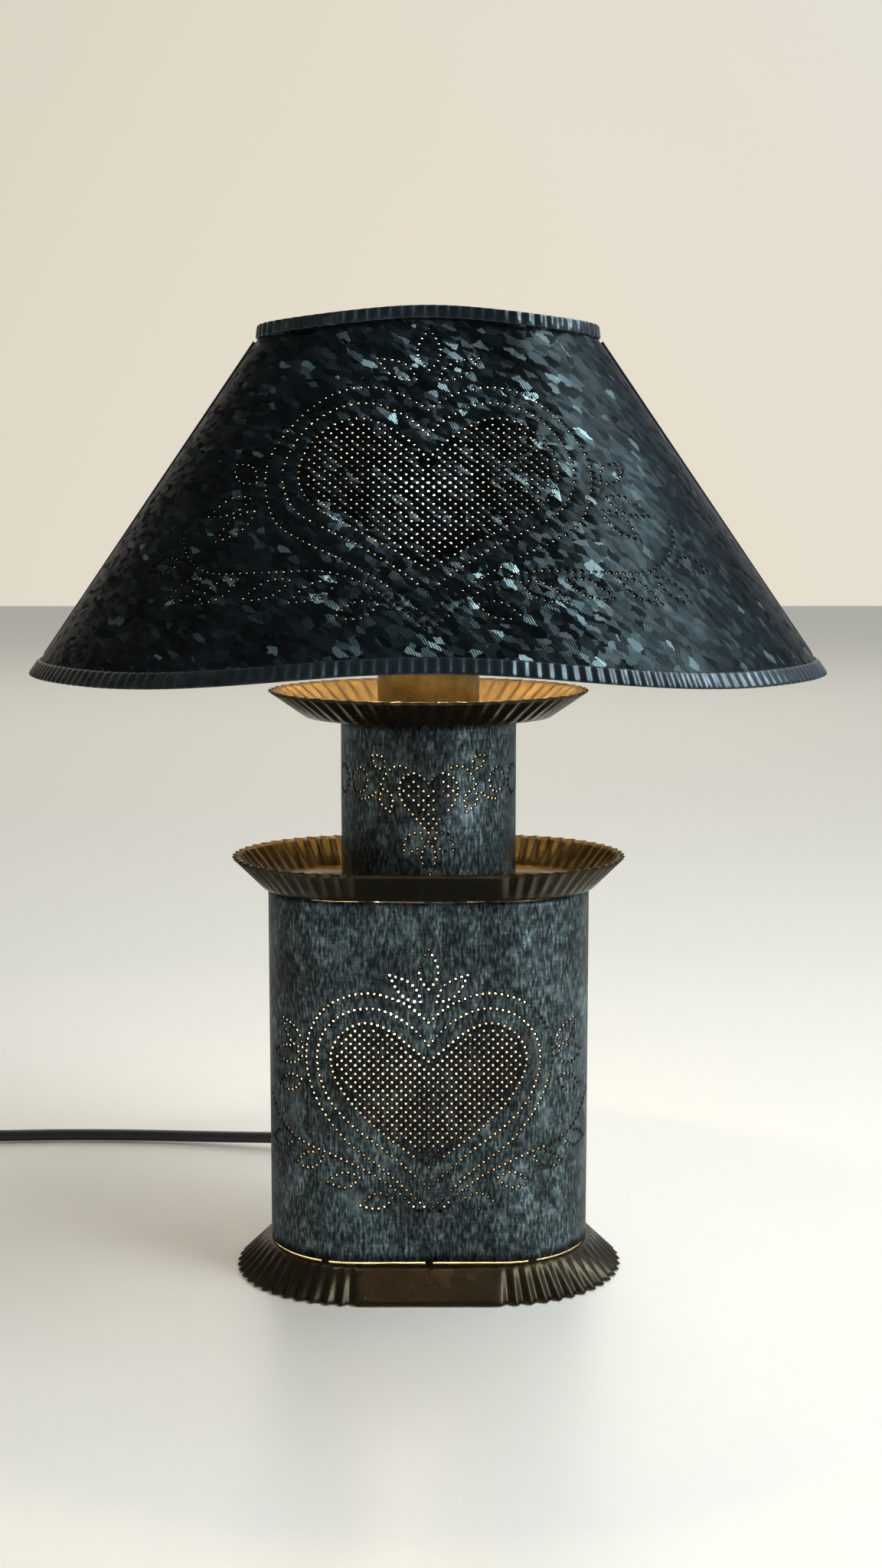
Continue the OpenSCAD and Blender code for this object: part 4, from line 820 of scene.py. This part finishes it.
# The plug: how far it lies from the coil's middle, its height, and its half width and half height along its length
PLUG_AWAY, PLUG_Z, PLUG_LENGTH, PLUG_SIDES, PLUG_SLEEVE = 0.062, 0.0075, 0.060, 40, 0.38
PLUG_AT = [0, PLUG_SLEEVE, 0.42, 0.62, 0.9, 0.97, 1]
PLUG_WIDE = [4.6, 6.0, 6.4, 12.5, 14.5, 13.9, 12.0]
PLUG_HIGH = [4.6, 6.0, 6.2, 6.7, 7.0, 6.6, 5.4]


def cord_route():
    """The cord's centreline: a free run, then turns that spiral in, climb a layer and spiral out, to the plug."""
    free = smooth_line(np.array(CORD_RUN) / 1000, 5)
    turn = np.arange(0, COIL_IN + CLIMB + COIL_OUT + 1e-6, 1 / 36)
    start_r = COIL_R + COIL_PITCH * COIL_IN
    climbing = COIL_R - COIL_PULL * np.sin(2 * np.pi * (turn - COIL_IN))
    r = np.where(turn < COIL_IN, start_r - COIL_PITCH * turn,
                 np.where(turn < COIL_IN + CLIMB, climbing, COIL_R + COIL_PITCH * (turn - COIL_IN - CLIMB)))
    z = COIL_Z0 + COIL_PITCH * (1 - np.cos(np.pi * np.clip((turn - COIL_IN) / CLIMB, 0, 1))) / 2
    mid = COIL_START - [0, start_r]
    a = 2 * np.pi * turn
    coil = np.stack([mid[0] - r * np.sin(a), mid[1] + r * np.cos(a), z], 1)
    end = coil[-1]
    plug = np.array([end[0], mid[1] - PLUG_AWAY, PLUG_Z])
    tail = smooth_line([end + [0, -0.014, 0], end + [0, -0.030, -0.0016], end + [0, -0.044, -0.0036],
                        plug + [0, 0.007, 0.0004], plug], 4)
    return np.vstack([free[:-1], coil, tail]), plug


def plug_shape(plug):
    """Ribbed sleeve that widens to a flat grip: rounded sections |x/w|^p + |z/h|^p = 1 along the plug's length."""
    t = np.linspace(0, 1, 28)
    w, h = (np.interp(t, PLUG_AT, size) / 1000 for size in (PLUG_WIDE, PLUG_HIGH))
    a = np.linspace(0, 2 * np.pi, PLUG_SIDES, endpoint=False)[:, None]
    power = 2 / np.interp(t, [0, 0.4, 0.6, 1], [2, 2, 3, 3])
    x = np.sign(np.cos(a)) * np.abs(np.cos(a)) ** power * w
    z = np.sign(np.sin(a)) * np.abs(np.sin(a)) ** power * h
    ribs = 1 - 0.06 * (t < PLUG_SLEEVE) * (np.sin(t * 2 * np.pi * 16) > 0.2)
    y = np.broadcast_to(plug[1] - PLUG_LENGTH * t, x.shape)
    body = np.stack([plug[0] + x * ribs, y, plug[2] + z * ribs], -1)
    n = len(t)
    caps = [[i * n for i in range(PLUG_SIDES)], [i * n + n - 1 for i in range(PLUG_SIDES - 1, -1, -1)]]
    return body.reshape(-1, 3), grid_faces(PLUG_SIDES, n, wrap_u=True)[:, ::-1].tolist() + caps


class TINLAMP_OT_cord(bpy.types.Operator):
    """Mains cord with its coil, and the plug on it"""
    bl_idname = "tinlamp.cord"
    bl_label = "Cord and plug"

    def execute(self, context):
        s = sizes()
        path, plug = cord_route()
        curve = bpy.data.curves.new("mains_lead", "CURVE")
        curve.dimensions = "3D"
        curve.bevel_depth = s.cord_d / 2
        curve.bevel_resolution = 4
        curve.use_fill_caps = True
        line = curve.splines.new("POLY")
        line.points.add(len(path) - 1)
        line.points.foreach_set("co", np.hstack([path, np.ones((len(path), 1))]).astype(np.float32).ravel())
        line.use_smooth = True
        obj = add_object("mains_lead", curve)
        curve.materials.append(finish("rubber"))
        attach(obj, "lamp")
        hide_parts("mains_cord", "cord_coil")
        plug_obj = add_piece("plug_moulding", *plug_shape(plug), [finish("plug")], "lamp", "plug_plastic",
                             ["plug_body"], sharp=40)
        return {"FINISHED"}


# Pitch of the dots along the lines and across and up the filled heart, in millimetres
SHADE_PITCH, CAN_PITCH, RISER_PITCH = (3.5, (2.5, 4.7)), (3.15, (2.3, 4.4)), (3.0, (2.5, 4.6))
SHEET_STEP = 0.0055
TRIM_COVER = 0.0048
# Painted shade over the filled hearts, where the dents nearly touch: the least darkening inside the inner heart,
# on the shade and on the can and riser
SHADE_HEART_SHADE, CAN_HEART_SHADE = 0.36, 0.42


class TINLAMP_OT_shade(bpy.types.Operator):
    """Punched front and back sheets of the shade"""
    bl_idname = "tinlamp.shade"
    bl_label = "Punched shade"

    def execute(self, context):
        s = sizes()
        dots = motif(SHADE_HEARTS, SHADE_VINE, SHADE_LEAVES, SHADE_TOP_LEAF, *SHADE_PITCH) / 1000
        low = shade_edge_flat(bottom_edge, 0.0, 181)
        high = shade_edge_flat(top_edge, TRIM_COVER, 101)
        sides = [np.linspace(p, q, 42)[1:-1] for p, q in ((low[-1], high[-1]), (high[0], low[0]))]
        outline = np.vstack([low, sides[0], high[::-1], sides[1]])
        xy, tris, deep = punched(outline, dots, s.shade_hole_r, SHEET_STEP)
        # Painted shade: darkest at the holes' dents, and this share over the whole filled heart
        painted_shade = np.maximum(deep, SHADE_HEART_SHADE * inside_of(xy, heart_outline(SHADE_HEARTS[-1]) / 1000))
        for side, name, shift in ((-1, "shade_front", 0.0), (1, "shade_back", 0.3)):
            verts = shade_surface(xy[:, 0], xy[:, 1], s.dent * deep, side)
            obj = add_piece(name, verts, tris, [finish("shade"), finish("inside")], "shade", "shade_tin",
                            [name + "_sheet"], uv=xy + [0.0, shift], dent=painted_shade)
            thicken(obj, s.sheet, 1)
        return {"FINISHED"}


# Sections of the trims: how far out and up each point lies, in millimetres, and its share of the crimp
BOTTOM_TRIM = [(0.15, 6.4, 0), (0.75, 6.6, 0.25), (0.7, 5.6, 0.85), (0.7, 0.9, 0.95), (0.6, -0.3, 0.8),
               (0.1, -0.7, 0.4), (-1.0, -0.6, 0.2), (-1.35, 0.4, 0.1), (-1.3, 2.8, 0.0), (-1.0, 2.9, 0.0),
               (-0.95, 0.35, 0.0), (0.15, 0.2, 0.0)]
TOP_TRIM = [(0.15, -6.4, 0), (0.6, -6.5, 0.2), (0.65, -5.6, 0.85), (0.0, -0.8, 0.9), (-0.3, -0.1, 0.7),
            (-0.75, 0.0, 0.45), (-1.15, -0.4, 0.4), (-1.0, -2.0, 0.4), (-0.2, -5.2, 0.3)]
TOP_TRIM_FOOT = 0.0063


class TINLAMP_OT_trims(bpy.types.Operator):
    """Crimped trims round the shade's edges"""
    bl_idname = "tinlamp.trims"
    bl_label = "Crimped trims"

    def crimps(self, r):
        """Places round the oval, as shares of its turn, and how near each is to the crest of a crimp."""
        s = sizes()
        per_end, per_flat = int(round(np.pi * r / s.crimp)), int(round(2 * s.oval_half / s.crimp))
        end, flat = np.arange(per_end * 8) / (per_end * 8), np.arange(per_flat * 4) / (per_flat * 4)
        a = np.concatenate([end, 1 + flat, 2 + end, 3 + flat]) / 4
        count = np.concatenate([end * per_end, flat * per_flat] * 2)
        return a, 0.5 + 0.5 * np.cos(2 * np.pi * count)

    def execute(self, context):
        """Carries each section round the oval: the lower trim leans with the shade, the upper stands upright."""
        s = sizes()
        for name, r_ref, edge, section in (("bottom", s.shade_bottom_r, bottom_edge, BOTTOM_TRIM),
                                           ("top", s.shade_top_r, top_edge, TOP_TRIM)):
            a, crest = self.crimps(r_ref)
            z = edge(oval_ring(r_ref, a, s.oval_half)[:, 0])
            leans = edge is bottom_edge
            rows = []
            for off, up, push in section:
                r = shade_r(z + up / 1000 if leans else z - TOP_TRIM_FOOT)
                ring = oval_ring(r + (off + push * (crest - 0.1)) / 1000, a, s.oval_half)
                rows.append(np.hstack([ring, (z + up / 1000)[:, None]]))
            faces = grid_faces(len(a), len(rows), True, True)
            add_piece(name + "_crimp", np.stack(rows, 1).reshape(-1, 3), faces[:, ::-1] if leans else faces,
                      [finish("trim")], "shade", "trim_tin", [f"shade_{name}_trim"])
        return {"FINISHED"}


# Heights of the can and riser, the dip of the can's top edge and twice its arc's radius
CAN_Z, RISER_Z, CAN_DIP, DIP_ARC = (0.0163, 0.2017), (0.2031, 0.2905), 0.0007, 1.12
CORD_Z, CORD_HOLE_R, CORD_CLEAR = 0.038, 0.0061, 0.0105
# Width and fold of a tab, how far tabs stand off the can and the riser, and their places
TAB_W, TAB_FOLD, TAB_REACH, RISER_TAB_REACH = 0.004, 0.0045, 0.0014, 0.0006
TAB_X, TAB_TURN, RISER_TAB_TURNS = 0.030, math.radians(21), (45, 135, 225, 315)


class TINLAMP_OT_can(bpy.types.Operator):
    """Punched can and riser, with the tabs that hold them"""
    bl_idname = "tinlamp.can"
    bl_label = "Can and riser"

    def rolled(self, name, node_name, half, r, heights, dip, dots, hole_r, heart, plain, shift):
        """Sheet rolled to a tube: its top edge dips as a shallow arc at the middle of the front and back."""
        s = sizes()
        low, high = heights
        quarter = half + math.pi * r / 2
        left, right = -quarter, 3 * quarter
        n, m = 220, 30
        u = np.linspace(left, right, n)
        off = np.minimum(np.abs(u), np.abs(u - 2 * quarter))
        bottom = np.stack([u, np.full(n, low)], 1)
        top = np.stack([u, high - np.clip(dip - off ** 2 / DIP_ARC, 0, None)], 1)
        side = np.stack([np.full(m, right), np.linspace(low, high, m)], 1)[1:-1]
        outline = np.vstack([bottom, side, top[::-1], side[::-1] * [0, 1] + [left, 0]])
        both = np.vstack([dots, dots + [2 * quarter, 0]])
        for ring in plain:
            both = both[nearest(both, ring.mean(0)[None]) > CORD_CLEAR]
        xy, tris, deep = punched(outline, both, hole_r, SHEET_STEP, plain)
        verts = can_surface(xy[:, 0], xy[:, 1], s.dent * deep, half, r)
        # Painted shade: darkest at the holes' dents, and this share over the whole filled heart
        painted_shade = np.maximum(deep, CAN_HEART_SHADE * (inside_of(xy, heart) | inside_of(xy - [2 * quarter, 0], heart)))
        obj = add_piece(name, verts, tris, [finish("can"), finish("inside")], "lamp", "can_tin", [node_name],
                        uv=xy + [0, shift], merge=True, dent=painted_shade)
        thicken(obj, s.sheet, 1)

    def tabs(self):
        """Tabs: at the can's ends, its front and back middles, beside these on top and round its corners below,
        and four at each end of the riser. The can's top dips at the middle, so the tabs there start lower."""
        s = sizes()
        mid, tube_mid = s.can_r - s.sheet / 2, s.riser_r - s.sheet / 2
        ends = [(k * (s.oval_half + mid), 0.0, math.pi if k > 0 else 0.0) for k in (-1, 1)]
        middle = [(0.0, k * mid, -k * math.pi / 2) for k in (-1, 1)]
        top = [(x, k * mid, -k * math.pi / 2) for x in (-TAB_X, TAB_X) for k in (-1, 1)] + ends
        sin, cos = math.sin(TAB_TURN), math.cos(TAB_TURN)
        low = [(e * (s.oval_half + mid * sin), k * mid * cos, math.atan2(-k * cos, -e * sin))
               for e in (-1, 1) for k in (-1, 1)]
        ring = [(tube_mid * math.cos(t), tube_mid * math.sin(t), t + math.pi) for t in np.radians(RISER_TAB_TURNS)]
        return joined(tab_strips(low + middle + ends, CAN_Z[0], -1, TAB_REACH)
                      + tab_strips(top, CAN_Z[1], 1, TAB_REACH)
                      + tab_strips(middle, CAN_Z[1] - CAN_DIP, 1, TAB_REACH + CAN_DIP)
                      + tab_strips(ring, RISER_Z[0], -1, RISER_TAB_REACH)
                      + tab_strips(ring, RISER_Z[1], 1, RISER_TAB_REACH))

    def execute(self, context):
        s = sizes()
        cord_hole = circle((2 * (s.oval_half + math.pi * s.can_r / 2), CORD_Z), CORD_HOLE_R, 24)
        dots = motif(CAN_HEARTS, CAN_VINE, CAN_LEAVES, CAN_TOP_LEAF, *CAN_PITCH) / 1000
        self.rolled("punched_can", "body_can", s.oval_half, s.can_r, CAN_Z, CAN_DIP, dots, s.can_hole_r,
                    heart_outline(CAN_HEARTS[-1]) / 1000, [cord_hole], 0.0)
        self.rolled("punched_riser", "riser_tube", 0.0, s.riser_r, RISER_Z, 0.0, riser_motif(*RISER_PITCH) / 1000,
                    s.riser_hole_r, heart_outline(RISER_HEART) / 1000, [], 0.35)
        add_piece("folded_tabs", *self.tabs(), [finish("pan")], "lamp", "can_tin", sharp=30)
        return {"FINISHED"}


# Heights of each pan's floor and rim, and the places and radii of the holes in the floors
BASE_Z, OVAL_Z, ROUND_Z = (0.0155, 0.0005), (0.2025, 0.218), (0.2905, 0.3033)
BASE_HOLE_R, NIPPLE_HOLE_R, LOWER_HOLE, LEAD_HOLE = 0.036, 0.00505, (-0.012, 0), (0.010, 0)
LEAD_HOLE_R, VENT_R, VENT_AWAY, VENT_TURNS = 0.00455, 0.007, 0.030, (45, 90, 135, 225, 270, 315)
FLUTE_POINTS, FLAT_POINTS, FLUTE_ROUND, FLUTE_GROWTH = 10, 24, 0.93, 0.75


class TINLAMP_OT_pans(bpy.types.Operator):
    """Base pan, oval pan and round pan with their fluted walls"""
    bl_idname = "tinlamp.pans"
    bl_label = "Crimped pans"

    def pan(self, name, node_name, half, radii, heights, flutes, holes, bare_r=0.0):
        """Wall: rows from floor to rim whose radius dips in each flute by depth * v^0.75, as a triangle
        wave rounded by arccos(0.93 cos a). Floor: a cut sheet, of bare tin inside the bare radius."""
        s = sizes()
        (floor_r, rim_r), (floor_z, rim_z) = radii, heights
        end = np.arange(flutes * FLUTE_POINTS) / (flutes * FLUTE_POINTS)
        flat = np.arange(FLAT_POINTS) / FLAT_POINTS
        if half > 0:
            a = np.concatenate([end, 1 + flat, 2 + end, 3 + flat]) / 4
            k = np.concatenate([end * flutes, flat * 0, end * flutes, flat * 0])
        else:
            a, k = end, end * flutes
        least = np.arccos(FLUTE_ROUND)
        dip = (np.arccos(FLUTE_ROUND * np.cos(2 * np.pi * k)) - least) / (np.pi - 2 * least)
        rows = []
        for v in np.linspace(0, 1, 9):
            r = floor_r + (rim_r - floor_r) * v - s.flute * dip * v ** FLUTE_GROWTH
            if half > 0:
                ring = oval_ring(r, a, half)
            else:
                ring = np.stack([r * np.cos(2 * np.pi * a), r * np.sin(2 * np.pi * a)], -1)
            rows.append(np.hstack([ring, np.full((len(a), 1), floor_z + (rim_z - floor_z) * v)]))
        wall = np.stack(rows, 1)
        bare = oval_ring(bare_r, np.arange(0, 1, 1 / 160), half) if bare_r else np.zeros((0, 2))
        xy, tris, _ = cut_sheet(wall[:, 0, :2], holes, bare)
        floor = np.hstack([xy, np.full((len(xy), 1), floor_z)])
        wall_faces = grid_faces(len(a), len(rows), wrap_u=True)
        floor_faces = tris + len(a) * len(rows)
        if rim_z > floor_z:
            floor_faces = floor_faces[:, ::-1]
        else:
            wall_faces = wall_faces[:, ::-1]
        # Painted light: the inner faces take the lighter pan colour that stands for the bulbs' warm light
        tins = ["pan", "pan_inside_lit"] + (["inside", "pan_inside_lit"] if bare_r else [])
        obj = add_piece(name, np.vstack([wall.reshape(-1, 3), floor]), wall_faces.tolist() + floor_faces.tolist(),
                        [finish(tin) for tin in tins], "lamp", "pan_tin", [node_name], sharp=48)
        if bare_r:
            tin_of = np.concatenate([np.zeros(len(wall_faces)), 2 * inside_of(xy[tris].mean(1), bare)])
            obj.data.polygons.foreach_set("material_index", tin_of.astype(np.int32))
        merge_doubles(obj.data)
        thicken(obj, s.sheet, 1)

    def execute(self, context):
        s = sizes()
        oval, around = (s.pan_floor_r, s.pan_rim_r), np.arange(0, 1, 1 / 96)
        vents = [circle((VENT_AWAY * math.cos(t), VENT_AWAY * math.sin(t)), VENT_R, 24)
                 for t in np.radians(VENT_TURNS)]
        self.pan("crimped_base", "base_pan", s.oval_half, oval, BASE_Z, s.pan_flutes,
                 [oval_ring(BASE_HOLE_R, around, s.oval_half)], s.can_r - s.sheet)
        self.pan("crimped_oval_pan", "oval_pan", s.oval_half, oval, OVAL_Z, s.pan_flutes,
                 [circle(LOWER_HOLE, NIPPLE_HOLE_R, 24), circle(LEAD_HOLE, LEAD_HOLE_R, 24)] + vents)
        self.pan("crimped_round_pan", "round_pan", 0.0, (s.round_floor_r, s.round_rim_r), ROUND_Z, s.round_flutes,
                 [circle((0, 0), NIPPLE_HOLE_R, 24)])
        return {"FINISHED"}


# Wall of the bulbs, and each bulb's place, direction, neck radius, globe radius, neck height, stem radius, stem
# height, coil height and half the coil's length
GLASS_WALL = 0.0008
BULBS = (("upper", (0.0, 0.0, 0.3576), 1, 0.0140, 0.030, 0.049, 0.006, 0.024, 0.049, 0.014),
         ("lower", (-0.012, 0.0, 0.1595), -1, 0.0078, 0.012, 0.022, 0.003, 0.010, 0.0185, 0.0055))
COIL_TURNS, COIL_POINTS = 9, 180


class TINLAMP_OT_bulbs(bpy.types.Operator):
    """Clear bulbs, their stems with support wires, and their lit coils"""
    bl_idname = "tinlamp.bulbs"
    bl_label = "Bulbs"

    def bulb(self, which, at, up, neck, r, neck_h, stem_r, stem_h, lit_h, span):
        """Glass: a neck that widens as half a cosine to a half sphere. Coil: a helix between two wires."""
        def put(name, shape, tin, slot, nodes=(), **values):
            """Adds a shape of the bulb, upright or upside down, at the bulb's place."""
            verts, faces = shape
            return add_piece(f"{which}_{name}", np.asarray(verts) * [1, 1, up] + at,
                             faces if up > 0 else [face[::-1] for face in faces], [finish(tin)], which + "_bulb",
                             slot, nodes, **values)
        t = np.linspace(0, 1, 20)[:-1]
        b = np.linspace(0, np.pi / 2, 18)
        profile = np.vstack([np.stack([neck + (r - neck) * (1 - np.cos(np.pi * t)) / 2, neck_h * t], 1),
                             np.stack([r * np.cos(b), neck_h + r * np.sin(b)], 1)])
        glass = put("glass", joined([lathe(profile)]), "glass", "bulb_glass", [which + "_bulb_glass"], merge=True)
        thicken(glass, GLASS_WALL)
        stem = lathe([(0, 0.0002), (stem_r, 0.0002), (stem_r * 0.9, stem_h * 0.3), (stem_r * 0.45, stem_h * 0.7),
                      (stem_r * 0.4, stem_h), (0, stem_h)], 24)
        wires = [tube(np.linspace([k * stem_r * 0.2, 0, stem_h * 0.9], [k * span, 0, lit_h], 6), stem_r * 0.06, 6,
                      (0, 1, 0)) for k in (-1, 1)]
        put("stem", joined([stem] + wires), "stem", "filament", [which + "_filament"], merge=True, sharp=50)
        a = np.linspace(0, 2 * np.pi * COIL_TURNS, COIL_POINTS)
        coil_r = span * 0.26
        coil = np.stack([np.linspace(-span, span, COIL_POINTS), coil_r * np.sin(a), lit_h + coil_r * np.cos(a)], 1)
        put("lit_coil", tube(coil, coil_r * 0.34, 8, (1, 0, 0)), "lit", "filament")

    def execute(self, context):
        for values in BULBS:
            self.bulb(*values)
        return {"FINISHED"}


NODE_FINISH = {
    "pan": ["shade_carrier", "shade_arms"],
    "sleeve": ["candle_sleeve"],
    "trim": ["shade_side_seams"],
    "black": ["upper_socket", "lower_socket", "shade_ring", "switch_knob", "cord_boot", "boot_nut", "cable_bush"],
    "brass": ["upper_contact", "lower_contact", "upper_nipple", "upper_nipple_nuts", "lower_nipple",
              "lower_nipple_nuts"],
    "cap": ["upper_bulb_cap", "lower_bulb_cap"],
    "ivory": ["terminal_block"],
    "rubber": ["upper_lead", "lower_lead", "inner_cord", "cord_tie"],
    "nickel": ["plug_pins"],
}


class TINLAMP_OT_fittings(bpy.types.Operator):
    """Finishes of the pieces that come straight from the frame"""
    bl_idname = "tinlamp.fittings"
    bl_label = "Fittings"

    def execute(self, context):
        for key, names in NODE_FINISH.items():
            for name in names:
                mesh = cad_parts[name].data
                if mesh.materials:
                    mesh.materials[0] = finish(key)
                else:
                    mesh.materials.append(finish(key))
        return {"FINISHED"}


class TINLAMP_PT_panel(bpy.types.Panel):
    """Lists the lamp's operators and sizes"""
    bl_idname = "TINLAMP_PT_panel"
    bl_label = "Tin lamp"
    bl_space_type = "VIEW_3D"
    bl_region_type = "UI"
    bl_category = "Tin lamp"

    def draw(self, context):
        for cls in OPERATORS:
            self.layout.operator(cls.bl_idname)
        for group in (context.scene.tin_lamp_sizes, context.scene.tin_lamp_colours):
            box = self.layout.box()
            for key in group.__annotations__:
                box.prop(group, key)


OPERATORS = (TINLAMP_OT_stage, TINLAMP_OT_cord, TINLAMP_OT_shade, TINLAMP_OT_trims, TINLAMP_OT_can,
             TINLAMP_OT_pans, TINLAMP_OT_bulbs, TINLAMP_OT_fittings)
CLASSES = (TinLampSizes, TinLampColours) + OPERATORS + (TINLAMP_PT_panel,)


def register():
    for cls in CLASSES:
        bpy.utils.register_class(cls)
    bpy.types.Scene.tin_lamp_sizes = PointerProperty(type=TinLampSizes)
    bpy.types.Scene.tin_lamp_colours = PointerProperty(type=TinLampColours)


def unregister():
    del bpy.types.Scene.tin_lamp_colours
    del bpy.types.Scene.tin_lamp_sizes
    for cls in reversed(CLASSES):
        bpy.utils.unregister_class(cls)


def main():
    register()
    for cls in OPERATORS:
        group, name = cls.bl_idname.split(".")
        getattr(getattr(bpy.ops, group), name)()


if __name__ == "__main__":
    main()
